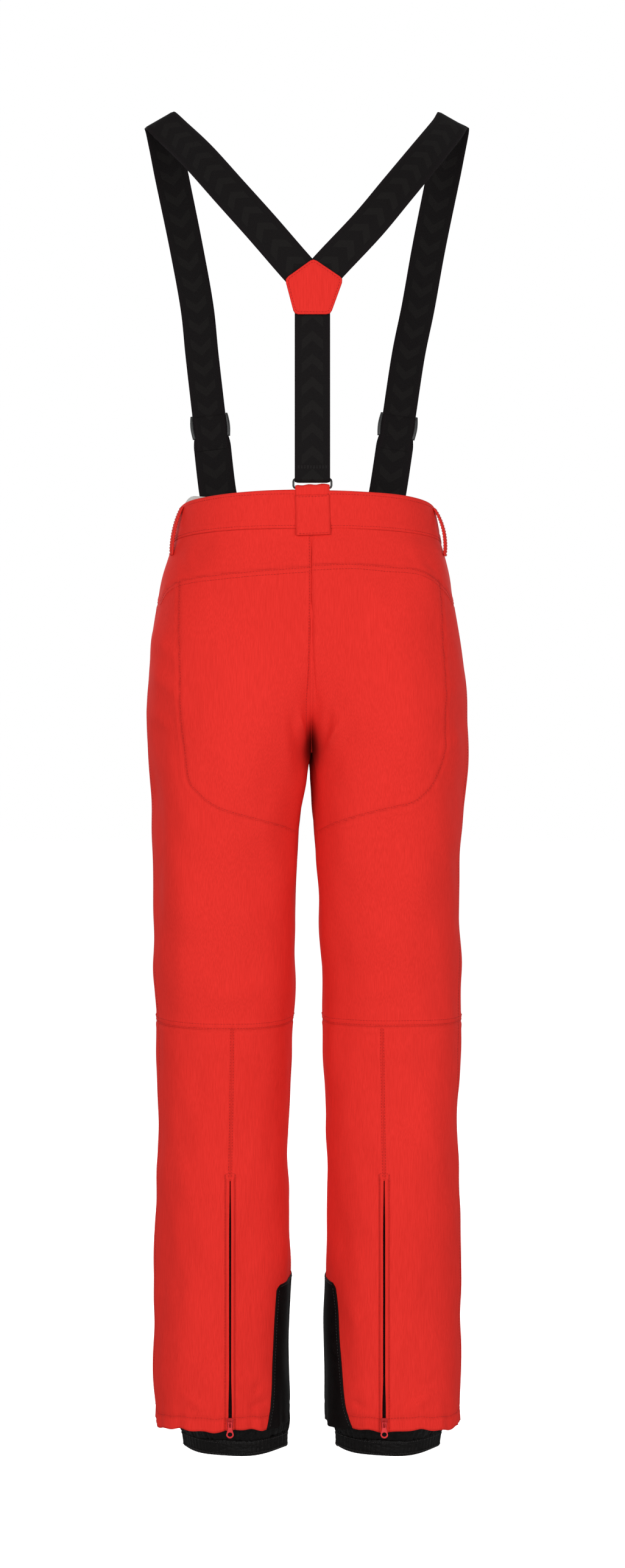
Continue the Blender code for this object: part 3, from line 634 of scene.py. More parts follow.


# Seams, folds and waves of the sewn cloth ---------------------------------------------------------
# Each seam is a run of (angle, z) pairs; listed points give the distance from the centre line.
YOKE_SEAM = {
    "left": ((0.0004, -0.0860), (0.068, -0.0905), (0.128, -0.0957), (0.1560, -0.1040), (0.1690, -0.1180)),
    "right": ((0.0004, -0.0840), (0.048, -0.0825), (0.084, -0.0840), (0.126, -0.0875), (0.1560, -0.1040),
              (0.1690, -0.1180)),
}
SEAT_SEAM = {
    "left": ((0.1440, -0.0995), (0.1450, -0.180), (0.1445, -0.256), (0.1404, -0.2956), (0.1348, -0.3275),
             (0.1244, -0.3414), (0.1105, -0.3532), (0.0910, -0.3623), (0.0605, -0.3713), (0.0306, -0.3803),
             (0.0105, -0.3890)),
    "right": ((0.1500, -0.0960), (0.1560, -0.180), (0.1580, -0.256), (0.1570, -0.2956), (0.1487, -0.3210),
              (0.1390, -0.3370), (0.1209, -0.3525), (0.0987, -0.3580), (0.0632, -0.3664), (0.0300, -0.3775),
              (0.0105, -0.3890)),
}
SEAM_STEP = 0.0020
HEM_DROP = 0.010           # the hem hangs this much lower at the sides than at the back


def seam_by_x(points, behind=True):
    """A seam through (distance from the centre line, z) pairs."""
    curve = smooth_curve(points, SEAM_STEP)
    return np.stack([angle_at(curve[:, 1], curve[:, 0], behind), curve[:, 1]], axis=1)


def seam_by_angle(*points):
    """A seam through (angle, z) pairs."""
    knots = np.array(points, dtype=float)
    scaled = smooth_curve(knots * (0.0016, 1.0), SEAM_STEP)
    return scaled / (0.0016, 1.0)


def seam_lines(name, side):
    """Every seam of one half: (angle, z) runs by name."""
    low = HEM_Z - 0.0005
    return {
        "yoke": seam_by_x(YOKE_SEAM[name]),
        "seat": seam_by_x(SEAT_SEAM[name]),
        "centre_back": seam_by_angle((180, -WAISTBAND_HEIGHT), (180, CROTCH_Z)),
        "centre_front": seam_by_angle((-180, FLY_BOTTOM_Z - 0.008), (-180, CROTCH_Z)),
        "knee": seam_by_angle((-200, KNEE_SEAM_Z), (-100, KNEE_SEAM_Z + 0.002), (0, KNEE_SEAM_Z),
                              (100, KNEE_SEAM_Z - 0.002 * side), (200, KNEE_SEAM_Z)),
        "inner_leg": seam_by_angle((200, CROTCH_Z - 0.001), (200, low)),
        "side": seam_by_angle((SIDE_SEAM, -0.123), (SIDE_SEAM, -0.33), (SIDE_SEAM, low)),
        "calf": seam_by_x(((LEG_ZIP_X - 0.0025, KNEE_SEAM_Z), (LEG_ZIP_X, LEG_ZIP_TOP_Z + 0.004))),
        "front_yoke": seam_by_angle((SIDE_SEAM, -0.122), (-18, -0.105), (-44, -0.069)),
    }


SEAMS = {name: seam_lines(name, side) for name, side in SIDES}


def seam_tree(side_name, side):
    """Finds how far a point of the bare cloth is from the nearest seam."""
    runs = [bare_points(side, run[:, 0], run[:, 1]) for run in SEAMS[side_name].values()]
    every = np.vstack(runs)
    tree = kdtree.KDTree(len(every))
    for k, point in enumerate(every):
        tree.insert(point, k)
    tree.balance()
    return tree


TREES = {side: seam_tree(name, side) for name, side in SIDES}


def make_waves():
    """Directions, phases and heights of the soft unevenness of worn cloth."""
    waves = []
    for length, height, count in ((0.150, 0.00095, 7), (0.070, 0.00036, 8), (0.034, 0.00011, 8)):
        for _ in range(count):
            direction = unit(rng.normal(size=3) * (1.0, 1.0, 0.55))
            waves.append((direction * 2 * math.pi / (length * rng.uniform(0.8, 1.25)),
                          rng.uniform(0, 2 * math.pi), height))
    return waves


WAVES = make_waves()

# Folds: side, behind, from (x, z), to (x, z), width and height in metres; a crease has a minus height
FOLDS = (
    (1, True, (0.0120, -0.246), (0.0050, -0.296), 0.0034, 0.0044),
    (1, True, (0.0230, -0.240), (0.0120, -0.300), 0.0060, -0.0022),
    (1, True, (0.0330, -0.262), (0.0170, -0.330), 0.0080, 0.0016),
    (-1, True, (0.0400, -0.252), (0.0085, -0.304), 0.0046, 0.0048),
    (-1, True, (0.0250, -0.238), (0.0100, -0.288), 0.0060, -0.0030),
    (-1, True, (0.0560, -0.262), (0.0220, -0.322), 0.0080, -0.0020),
    (1, True, (0.1500, -0.0620), (0.1330, -0.0980), 0.0050, -0.0014),
    (1, True, (0.1330, -0.0600), (0.1200, -0.0860), 0.0045, -0.0010),
    (-1, True, (0.1270, -0.0640), (0.1580, -0.1100), 0.0055, -0.0016),
    (-1, True, (0.1080, -0.0620), (0.1250, -0.0900), 0.0045, -0.0010),
    (1, True, (0.0700, -1.0470), (0.0400, -1.0380), 0.0045, -0.0018),
    (1, True, (0.0620, -1.0330), (0.0500, -1.0150), 0.0050, -0.0016),
    (1, True, (0.1120, -1.0500), (0.1450, -1.0300), 0.0060, 0.0016),
    (1, True, (0.1250, -0.8800), (0.1500, -0.9500), 0.0100, 0.0015),
    (1, True, (0.0500, -0.7000), (0.0620, -0.8000), 0.0100, 0.0015),
    (-1, True, (0.0720, -1.0480), (0.0480, -1.0360), 0.0045, -0.0018),
    (-1, True, (0.1080, -1.0520), (0.1500, -1.0280), 0.0060, 0.0016),
    (-1, True, (0.0600, -0.9700), (0.0480, -0.9200), 0.0080, 0.0015),
    (-1, True, (0.1300, -0.6600), (0.1450, -0.7800), 0.0120, 0.0016),
    (1, True, (0.1800, -0.150), (0.1350, -0.205), 0.0080, 0.0019),
    (1, True, (0.1860, -0.190), (0.1400, -0.240), 0.0085, 0.0020),
    (1, True, (0.1880, -0.240), (0.1500, -0.275), 0.0075, 0.0015),
    (-1, True, (0.1840, -0.200), (0.1450, -0.250), 0.0100, 0.0016),
    (-1, True, (0.1860, -0.265), (0.1500, -0.300), 0.0080, 0.0014),
    (1, True, (0.0300, -0.330), (0.0700, -0.420), 0.0160, 0.0022),
    (-1, True, (0.0300, -0.330), (0.0720, -0.425), 0.0160, 0.0022),
    (1, True, (0.0350, -0.560), (0.1300, -0.585), 0.0120, 0.0017),
    (1, True, (0.0400, -0.640), (0.1400, -0.630), 0.0110, 0.0015),
    (-1, True, (0.0350, -0.575), (0.1300, -0.560), 0.0120, 0.0017),
    (-1, True, (0.0400, -0.632), (0.1400, -0.646), 0.0110, 0.0015),
    (1, False, (0.0060, -0.235), (0.0600, -0.292), 0.0080, 0.0018),
    (-1, False, (0.0060, -0.235), (0.0600, -0.292), 0.0080, 0.0018),
    (1, False, (0.0300, -0.560), (0.1450, -0.600), 0.0110, 0.0014),
    (-1, False, (0.0300, -0.575), (0.1450, -0.600), 0.0110, 0.0014),
    (1, False, (0.0300, -0.660), (0.1450, -0.640), 0.0110, 0.0014),
    (-1, False, (0.0300, -0.650), (0.1450, -0.635), 0.0110, 0.0014),
)


# Relief beside a line: its height, how far from the line it stands and its width, in metres
SEAM_PUFF = (0.00055, 0.0050, 0.0030)
SEAM_GROOVE = (-0.00045, 0.0, 0.0024)
HEM_GROOVE = (-0.0004, 0.0, 0.0025)
ZIP_LIP = (0.0012, 0.0028, 0.0017)
ZIP_GROOVE = (-0.0008, 0.0057, 0.0009)
HEM_REACH = 0.060          # how far up the hem's puckers reach
HEM_PUCKER = 0.0014
HEM_STITCH_Z = HEM_Z + 0.0150
ZIP_CALM = 0.75            # the share of the relief that a zip's tape takes away
ZIP_FADE = 0.010
ZIP_TACK = (LEG_ZIP_TOP_Z + 0.0060, 0.0036, 0.0066, 0.0005)    # z, half height, half width, height


def ridge(distance, shape):
    """The height of a ridge or groove at a distance from its line."""
    height, place, width = shape
    return height * np.exp(-((distance - place) / width)**2)


def seam_distance(side, angle, z):
    """How far each point is from the nearest seam."""
    points = bare_points(side, angle, z)
    flat = points.reshape(-1, 3)
    tree = TREES[side]
    return np.array([tree.find(point)[2] for point in flat]).reshape(points.shape[:-1])


def folds_at(side, x, y, z):
    """The height of the folds and creases at points of one half."""
    lift = 0.0
    for fold_side, behind, start, stop, width, size in FOLDS:
        if fold_side != side:
            continue
        dx, dz = stop[0] - start[0], stop[1] - start[1]
        along = ((x - start[0]) * dx + (z - start[1]) * dz) / (dx * dx + dz * dz)
        apart = np.abs((x - start[0]) * dz - (z - start[1]) * dx) / math.hypot(dx, dz)
        taper = np.clip(1.25 - np.abs(2 * along - 1), 0, 1)**2
        on_its_face = np.clip((y if behind else -y) / 0.02, 0, 1)
        lift = lift + ridge(apart, (size, 0.0, width)) * taper * on_its_face
    return lift


def hem_at(side, angle, z):
    """The hem's puckers and the groove of its stitches."""
    turn = np.radians(np.asarray(angle, dtype=float))
    reach = np.clip((HEM_Z + HEM_REACH - z) / HEM_REACH, 0, 1)**2
    puckers = np.sin(turn * 17 + 1.3 * side) * 0.5 + np.sin(turn * 29 + 0.7) * 0.3
    return reach * HEM_PUCKER * puckers + ridge(z, (HEM_GROOVE[0], HEM_STITCH_Z, HEM_GROOVE[2]))


def along_zips(lift, x, y, z):
    """Calms the cloth beside the leg zip and the fly, and adds the leg zip's lips and end tack."""
    from_zip = np.abs(x - LEG_ZIP_X) + np.where(y > 0, 0.0, 1.0)
    in_zip = smoothstep((LEG_ZIP_TOP_Z + ZIP_FADE - z) / ZIP_FADE)
    in_fly = (y < 0) * smoothstep((z - FLY_BOTTOM_Z + 0.02) / 0.02)
    leg_calm = 1 - ridge(from_zip, (ZIP_CALM, 0.0, 0.012)) * in_zip
    fly_calm = 1 - ridge(x, (ZIP_CALM, 0.0, 0.010)) * in_fly
    lift = lift * leg_calm * fly_calm + in_zip * (ridge(from_zip, ZIP_LIP) + ridge(from_zip, ZIP_GROOVE))
    middle, half_height, half_width, height = ZIP_TACK
    from_tack = np.maximum(np.abs(z - middle) / half_height, from_zip / half_width)
    return lift + height * np.clip(6 - 5 * from_tack, 0, 1)


def relief(side, angle, z, distance=None):
    """How far the worn cloth stands off the bare surface: waves, folds, puffed seams, hem and zips."""
    points = bare_points(side, angle, z)
    x, y, height = points[..., 0] * side, points[..., 1], points[..., 2]
    if distance is None:
        distance = seam_distance(side, angle, z)
    waves = sum(size * np.sin(points @ direction + phase) for direction, phase, size in WAVES)
    seams = ridge(distance, SEAM_PUFF) + ridge(distance, SEAM_GROOVE)
    lift = waves + folds_at(side, x, y, height) + seams + hem_at(side, angle, z)
    lift = along_zips(lift, x, y, z)
    waist = np.clip((z + 0.058) / 0.016, 0, 1)
    below_crotch = np.clip((CROTCH_Z - z) / 0.030, 0, 1)
    beside_centre = np.clip((180 - np.abs(angle)) / 14, 0, 1)
    return lift * (1 - waist) * np.maximum(below_crotch, beside_centre * (2 - beside_centre))


CENTRE_SHIFT = -0.005      # the seat seam hangs a little to one side, as worn


HOLLOW_DEPTH = 0.020
HOLLOW_Z = -0.288


def crotch_hollow(x, z):
    """How deep the cloth is drawn in where the seat seam meets the legs; it widens on its way down."""
    width = 0.0075 + 0.20 * np.clip(-0.262 - z, 0, 0.03)
    return ridge(x, (HOLLOW_DEPTH, 0.0, width)) * np.exp(-(np.abs(z - HOLLOW_Z) / 0.027)**2.4)


def cloth(side, angle, z, out=0.0, distance=None):
    """Points of the worn cloth's outer face, or out metres off it."""
    angle, z = np.broadcast_arrays(np.asarray(angle, dtype=float), np.asarray(z, dtype=float))
    normal = normals_at(side, angle, z)
    points = bare_points(side, angle, z) + normal * (relief(side, angle, z, distance) + out)[..., None]
    hem = np.clip((HEM_Z + 0.030 - z) / 0.030, 0, 1)
    turn = np.radians(angle)
    points[..., 2] += hem * (0.0012 * np.sin(turn * 7 + side) + 0.0009 * np.sin(turn * 18 + 2 * side))
    x, behind = points[..., 0].copy(), smoothstep((points[..., 1] - 0.005) / 0.035)
    points[..., 1] -= behind * crotch_hollow(x, points[..., 2])
    shift = ridge(x, (CENTRE_SHIFT, 0.0, 0.045)) * smoothstep((points[..., 2] + 0.42) / 0.10)
    points[..., 0] += behind * shift
    low = smoothstep((HEM_Z + 0.130 - z) / 0.130)
    points[..., 2] -= HEM_DROP * low * (1 - np.clip(np.abs(points[..., 1]) / 0.080, 0, 1)**2)
    return points


# The red cloth of each half -----------------------------------------------------------------------
SHELL = 0.0016             # the cloth's thickness with its lining
FLY_GAP = 0.0012           # half the gap between the fly's lips
CALF_WARP = 30.0           # how many degrees of cloth give way to the calf zip's gap
SEAM_EDGE = 0.0022         # the cloth is thinner this close to the centre seam
STRIP_COLUMNS = 3          # the inner leg's strip takes this many columns at either end


def zip_gap(z):
    """Half the gap between a calf zip's lips: it opens down to the slider."""
    share = np.clip((LEG_ZIP_TOP_Z - z) / (LEG_ZIP_TOP_Z - HEM_Z), 0, 1)
    return 0.0005 + 0.0006 * smoothstep(share / 0.22) + 0.0008 * smoothstep((share - 0.78) / 0.14)


def column_angles(z):
    """The mesh's columns at each height: two follow the calf zip's lips, the first the fly's."""
    base = np.concatenate([np.linspace(-200, -180, 4)[:-1], np.linspace(-180, 82, 165)[:-1],
                           np.linspace(82, 110, 57)[:-1], np.linspace(110, 180, 46),
                           np.linspace(180, 200, 4)[1:-1]])
    lip = int(np.searchsorted(base, angle_at(-0.93, LEG_ZIP_X + 0.0010)))
    angles = np.repeat(base[None], len(z), axis=0)
    grip = smoothstep((z + 0.66) / -0.08)
    for column, x, below in ((lip, LEG_ZIP_X + zip_gap(z), True), (lip + 1, LEG_ZIP_X - zip_gap(z), False)):
        shift = (angle_at(z, x) - base[column]) * grip
        reach = (base[column] - base) if below else (base - base[column])
        weight = np.where(reach >= 0, 1 - smoothstep(reach / CALF_WARP), 0)
        angles = angles + shift[:, None] * weight[None]
    opening = smoothstep((z - FLY_BOTTOM_Z) / 0.006)
    fly = angle_at(z, FLY_GAP, behind=False)
    edge = (-180 + (fly + 180) * opening)[:, None]
    front = (base[None] <= -150) & (base[None] >= -180)
    angles = np.where(front, edge + (base[None] + 180) / 30 * (-150 - edge), angles)
    return angles, lip


def painted_groove_shade(side, points, z, distance):
    """Painted shade for the cloth's colour: darker in the seam lines, the calf zip's grooves, the hem's
    stitch groove and the crotch hollow.
    """
    # painted shade where real shade falls: along seams and grooves, and deepest in the crotch hollow
    seam = ridge(distance, (1.0, 0.0, 0.0018))
    from_zip = np.abs(points[..., 0] * side - LEG_ZIP_X) + (points[..., 1] < 0)
    painted_zip_groove = ridge(from_zip, (2.2, ZIP_GROOVE[1], 0.0010)) * (z < LEG_ZIP_TOP_Z + 0.008)
    hem = ridge(z, (1.6, HEM_STITCH_Z, 0.0014))
    painted_crotch_shade = crotch_hollow(points[..., 0] - CENTRE_SHIFT, points[..., 2]) / HOLLOW_DEPTH
    painted_crotch_shade = painted_crotch_shade * (points[..., 1] > 0)
    return np.maximum.reduce([seam, painted_zip_groove, hem, 7.0 * painted_crotch_shade**1.9])


def half_faces(z, columns, lip):
    """The quads of one half, without the strip above the crotch and the calf zip's gap."""
    faces = grid_faces(len(z), columns, closed=True).reshape(len(z) - 1, columns, 4)
    keep = np.ones(faces.shape[:2], dtype=bool)
    keep[z[:-1] > CROTCH_Z, :STRIP_COLUMNS] = False
    keep[z[:-1] > CROTCH_Z, -STRIP_COLUMNS:] = False
    keep[z[:-1] <= LEG_ZIP_TOP_Z + 1e-6, lip] = False
    return faces[keep]


def make_half(name, side):
    """One half: hip panels, and the leg down to the hem, as one continuous sewn shell."""
    z = np.concatenate([np.linspace(-WAISTBAND_HEIGHT + 0.004, CROTCH_Z, 91),
                        np.linspace(CROTCH_Z, LEG_ZIP_TOP_Z, 177)[1:],
                        np.linspace(LEG_ZIP_TOP_Z, HEM_Z, 104)[1:]])
    angles, lip = column_angles(z)
    heights = np.repeat(z[:, None], angles.shape[1], axis=1)
    distance = seam_distance(side, angles, heights)
    points = cloth(side, angles, heights, distance=distance)
    faces = half_faces(z, angles.shape[1], lip)
    used = np.zeros(angles.size, dtype=bool)
    used[faces.ravel()] = True
    faces = (np.cumsum(used) - 1)[faces]
    if side < 0:
        faces = faces[:, ::-1]
    mesh = mesh_from(name + "_shell", points.reshape(-1, 3)[used], faces)
    # painted shade of the grooves and crotch hollow, kept in the seam attribute for the cloth's colour
    painted_shade = painted_groove_shade(side, points, heights, distance).reshape(-1)[used]
    mesh.attributes.new("seam", "FLOAT", "POINT").data.foreach_set("value", painted_shade.astype(np.float32))
    shell = new_object(name + "_shell", mesh, "red", "lining")
    from_seam = np.abs(points[..., 0] - CENTRE_SHIFT)
    at_seam = (angles > 150) & (from_seam < SEAM_EDGE) & (heights > CROTCH_Z)
    thicken(shell, SHELL, inner_material=1, full=~at_seam.reshape(-1)[used])
    bend_at_knee(shell)
    nodes = [part + "_" + name for part in ("back_yoke", "seat_panel", "front_panel")]
    nodes += [name + "_" + part + "_panel" for part in ("thigh", "knee", "calf_outer", "calf_inner")]
    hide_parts(*nodes)


def bend_at_knee(piece):
    """Bakes the piece's transform into its mesh."""
    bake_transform(piece)


def offset_run(side, run, distance):
    """A run moved sideways over the cloth."""
    per_degree = np.linalg.norm(bare_points(side, run[:, 0] + 0.5, run[:, 1])
                                - bare_points(side, run[:, 0] - 0.5, run[:, 1]), axis=1)
    per_degree = np.maximum(per_degree, 0.0004)
    step = unit(np.stack([np.gradient(run[:, 0]) * per_degree, np.gradient(run[:, 1])], axis=1))
    return run + distance * np.stack([-step[:, 1] / per_degree, step[:, 0]], axis=1)


def lay(side, run, out):
    """The run's points on the worn cloth and the directions off it."""
    return cloth(side, run[:, 0], run[:, 1], out), normals_at(side, run[:, 0], run[:, 1])


# Rows of stitches beside each seam: seam, distances across it
TOPSTITCH = (
    ("yoke", (0.0016, 0.0066)),
    ("seat", (0.0017,)),
    ("centre_front", (0.0018,)),
    ("knee", (0.0017, 0.0067)),
    ("inner_leg", (0.0018,)),
    ("side", (0.0018,)),
    ("calf", (-0.0018, 0.0018)),
    ("front_yoke", (-0.0016,)),
)


def zip_stitch_runs():
    """The rows that hold the calf zip: down both sides and across the top."""
    reach, top = 0.0058, LEG_ZIP_TOP_Z + 0.0080
    runs = []
    for offset in (-reach, reach):
        z = np.linspace(top, HEM_Z + 0.003, 140)
        runs.append(np.stack([angle_at(z, LEG_ZIP_X + offset), z], axis=1))
    for z in (top, top - 0.0065):
        x = np.linspace(LEG_ZIP_X - reach, LEG_ZIP_X + reach, 8)
        runs.append(np.stack([angle_at(np.full(8, z), x), np.full(8, z)], axis=1))
    return runs


def make_half_stitching(name, side):
    """One half's seam lines and all its rows of stitches."""
    lines, threads = Gather(), Gather()
    # each seam's fold is a tube whose darker red is painted shade of its ditch
    for seam, run in SEAMS[name].items():
        if not seam.startswith("centre"):
            lines.tube(*lay(side, run, -0.00012), 0.0009, 0.0008)
    for seam, offsets in TOPSTITCH:
        for offset in offsets:
            threads.stitches(*lay(side, offset_run(side, SEAMS[name][seam], offset), 0.0))
    for run in zip_stitch_runs():
        threads.stitches(*lay(side, run, 0.0))
    for turns in ((-199, -100, 96), (101, 150, 199)):
        hem = seam_by_angle(*((turn, HEM_STITCH_Z) for turn in turns))
        threads.stitches(*lay(side, hem, 0.0))
    seam_piece = lines.make(name + "_seam_lines", "seam")
    for piece in (seam_piece, threads.make(name + "_topstitching", "red_thread")):
        bend_at_knee(piece)


def make_centre_seams():
    """The ridge of cloth that joins the halves, behind and in front, and one row of stitches behind."""
    ridges, threads = Gather(), Gather()
    for seam in ("centre_back", "centre_front"):
        points, normals = lay(1, SEAMS["left"][seam], 0.0001)
        points[:, 0] = lay(-1, SEAMS["right"][seam], 0.0001)[0][:, 0] / 2 + points[:, 0] / 2
        ridges.tube(points, normals * (0, 1, 0), 0.0030, 0.0012)
    z = np.linspace(-WAISTBAND_HEIGHT, CROTCH_Z + 0.012, 100)
    threads.stitches(*lay(1, np.stack([angle_at(z, 0.0026), z], axis=1), 0.0))
    seam_piece = ridges.make("centre_seam_ridge", "red")
    for piece in (seam_piece, threads.make("centre_seam_stitching", "red_thread")):
        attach(piece, "root")


def make_trousers():
    """Both halves of the red cloth and the seams between them."""
    for name, side in SIDES:
        make_half(name, side)
        make_half_stitching(name, side)
    make_centre_seams()


make_trousers()


# Bands and patches --------------------------------------------------------------------------------
EDGE_MARGIN = 0.0028       # from a band's edge to its row of stitches


def band(name, path, across, width, thickness, material, columns=8, spread=1.0):
    """A flat band with rounded edges along a path; across is the direction over its width."""
    path = np.asarray(path, dtype=float)
    across = unit(np.asarray(across, dtype=float))
    tangent = unit(np.gradient(path, axis=0))
    across = unit(across - tangent * np.sum(across * tangent, axis=1, keepdims=True))
    up = np.cross(across, tangent)
    across = across * np.broadcast_to(spread, len(path))[:, None]
    share = np.linspace(-1, 1, columns)
    rise = np.sqrt(np.clip(1 - np.abs(share)**14, 0, 1)) * 0.94 + 0.06
    top = np.stack([share * width / 2, thickness / 2 * rise], axis=1)
    low = np.stack([share[::-1] * width / 2, -thickness / 2 * rise[::-1]], axis=1)
    outline = np.vstack([top, low])
    middle = path[:, None] + across[:, None] * outline[None, :, :1]
    points = middle + up[:, None] * outline[None, :, 1:]
    points = np.concatenate([middle[:1], points, middle[-1:]])
    run = run_length(path)
    run = np.concatenate([run[:1], run, run[-1:]])
    ring = len(outline)
    mesh = mesh_from(name, points.reshape(-1, 3), grid_faces(len(points), ring, closed=True))
    uv = np.stack([np.broadcast_to(outline[None, :, 0] + width / 2, (len(points), ring)),
                   np.broadcast_to(run[:, None], (len(points), ring))], axis=-1)
    set_uv(mesh, uv.reshape(-1, 2))
    recalculate(mesh)
    return new_object(name, mesh, material)


def edge_rows(threads, path, across, width, lift, margin=EDGE_MARGIN):
    """Stitches near both edges of a band, on the side that across x along faces."""
    path = np.asarray(path, dtype=float)
    across = unit(np.asarray(across, dtype=float))
    up = unit(np.cross(across, unit(np.gradient(path, axis=0))))
    for side in (-1, 1):
        threads.stitches(path + across * side * (width / 2 - margin) + up * lift, up)


def cross_row(threads, centre, across, up, width):
    """One row of stitches over a band's width."""
    reach = width / 2 - EDGE_MARGIN
    line = np.linspace(-reach, reach, 12)[:, None] * unit(np.asarray(across))[None]
    threads.stitches(np.asarray(centre)[None] + line, repeated(up, 12))


def patch_outline(corners, inset):
    """Points round a convex patch, moved in from its edge, with the corners a little rounded."""
    corners = np.asarray(corners, dtype=float)
    centre = corners.mean(axis=0)
    moved = []
    for k, here in enumerate(corners):
        a, b = unit(here - corners[k - 1]), unit(corners[(k + 1) % len(corners)] - here)
        left_a, left_b = np.array([-a[1], a[0]]), np.array([-b[1], b[0]])
        if np.dot(left_a, centre - here) < 0:
            left_a, left_b = -left_a, -left_b
        moved.append(here + (left_a + left_b) / (1 + np.dot(left_a, left_b)) * inset)
    t = np.linspace(0, 1, 9, endpoint=False)[:, None]
    points = np.vstack([here + (after - here) * t for here, after in zip(moved, moved[1:] + moved[:1])])
    return 0.5 * points + 0.25 * (np.roll(points, 1, 0) + np.roll(points, -1, 0))


# A sewn patch's rings: distance in from the edge and height as a share of the thickness
PATCH_RINGS = ((0.0, -0.5), (0.0, 0.1), (0.0005, 0.5), (0.0018, 0.56), (0.0026, 0.36), (0.0036, 0.56),
               (0.008, 0.62))
PATCH_CROWN = 0.0006
STITCH_INSET = 0.0026


def sewn_patch(name, corners, y, thickness, material):
    """A flat patch facing +Y from its (x, z) corners: rounded rim, sunk stitch line, crowned middle."""

    def ring(inset, level):
        outline = patch_outline(corners, inset)
        return np.stack([outline[:, 0], np.full(len(outline), y + level * thickness), outline[:, 1]], axis=1)

    points = [ring(inset, level) for inset, level in PATCH_RINGS]
    base = points[-1]
    middle = base.mean(axis=0)
    for share in (0.6, 0.25, 0.0002):
        shrunk = middle + (base - middle) * share
        shrunk[:, 1] = base[:, 1] + PATCH_CROWN * (1 - share**2)
        points.append(shrunk)
    back = middle + (points[0] - middle) * 0.0002
    back[:, 1] = y - 0.5 * thickness
    points.insert(0, back)
    mesh = mesh_from(name, np.vstack(points), grid_faces(len(points), len(base), closed=True))
    recalculate(mesh)
    line = ring(STITCH_INSET, 0.40)
    return new_object(name, mesh, material), np.vstack([line, line[:1]])


def along_curve(knots, spacing=0.003):
    """A finely stepped strap path through (centre, cross direction) pairs."""
    joined = np.array([tuple(centre) + tuple(0.02 * c for c in cross) for centre, cross in knots])
    curve = smooth_curve(joined, spacing)
    return curve[:, :3], unit(curve[:, 3:])


# Waist --------------------------------------------------------------------------------------------
def waist_angles():
    """Once round the waist from the front centre: over the left, the back and the right."""
    turn = np.linspace(-180, 180, 150)
    return [(1, angle) for angle in turn[:-1]] + [(-1, angle) for angle in turn[:0:-1]]


def waist_point(side, angle, z, out):
    """Points out metres off the bare cloth, level with it."""
    normal = normals_at(side, angle, z)
    normal[..., 2] = 0
    return bare_points(side, angle, z) + unit(normal) * np.asarray(out)[..., None]


def waist_ring(profile_of):
    """A ring of closed cross-sections: profile_of(side, angle) gives (z, out) pairs."""
    columns = []
    for side, angle in waist_angles():
        z, out = profile_of(side, angle).T
        columns.append(waist_point(side, np.full(len(z), angle), z, out))
    return np.stack(columns, axis=1)


def ring_mesh(name, points):
    """The ring's mesh, with its shared edges merged."""
    points = np.concatenate([points, points[:1]])
    mesh = mesh_from(name, points.reshape(-1, 3), grid_faces(points.shape[0], points.shape[1], closed=True))
    bm = bmesh.new()
    bm.from_mesh(mesh)
    bmesh.ops.remove_doubles(bm, verts=bm.verts, dist=1e-6)
    bmesh.ops.recalc_face_normals(bm, faces=bm.faces)
    bm.to_mesh(mesh)
    bm.free()
    mesh.shade_smooth()
    return mesh


# The folded band's section, as z and height over the bare cloth: up its outer face, then down inside
OUTER_FACE = 13
BAND_PROFILE = np.array((
    (-0.0428, 0.0000), (-0.0427, 0.0005), (-0.0414, 0.0009), (-0.0396, 0.0006), (-0.0380, 0.0011),
    (-0.0335, 0.0014), (-0.0305, 0.0009), (-0.0270, 0.0015), (-0.0100, 0.0017), (-0.0052, 0.0016),
    (-0.0036, 0.0012), (-0.0020, 0.0016), (0.0002, 0.0012), (0.0011, 0.0002), (0.0009, -0.0010),
    (0.0000, -0.0020), (-0.0030, -0.0024), (-0.0200, -0.0025), (-0.0400, -0.0024), (-0.0428, -0.0015),
))


def band_profile(side, angle):
    """The folded band's (z, out) section, a little uneven round the waist."""
    turn = math.radians(angle)
    ease = 0.00035 * math.sin(5 * turn + side) + 0.00025 * math.sin(11 * turn + 2.1 * side)
    profile = BAND_PROFILE.copy()
    profile[:, 0] += 0.0006 * math.sin(4 * turn + 0.6 * side) * (1 + profile[:, 0] / WAISTBAND_HEIGHT)
    profile[:, 1] += ease * (1 + 1.1 * np.minimum(profile[:, 0] / WAISTBAND_HEIGHT, 0))
    return profile


def lining_profile(side, angle):
    """The grey facing peeps over the band beside the left front strap."""
    peep = 0.0075 * math.exp(-((angle - 27) / 13)**2) if side > 0 else 0.0
    top = -0.0004 + peep
    inner = -0.0018 if peep > 0.0005 else -0.0030
    return np.array([(-0.046, inner - 0.0005), (-0.020, inner), (top - 0.0010, inner), (top, inner - 0.0005),
                     (top - 0.0010, min(inner - 0.0011, -0.0034)), (-0.020, -0.0042), (-0.046, -0.0044)])


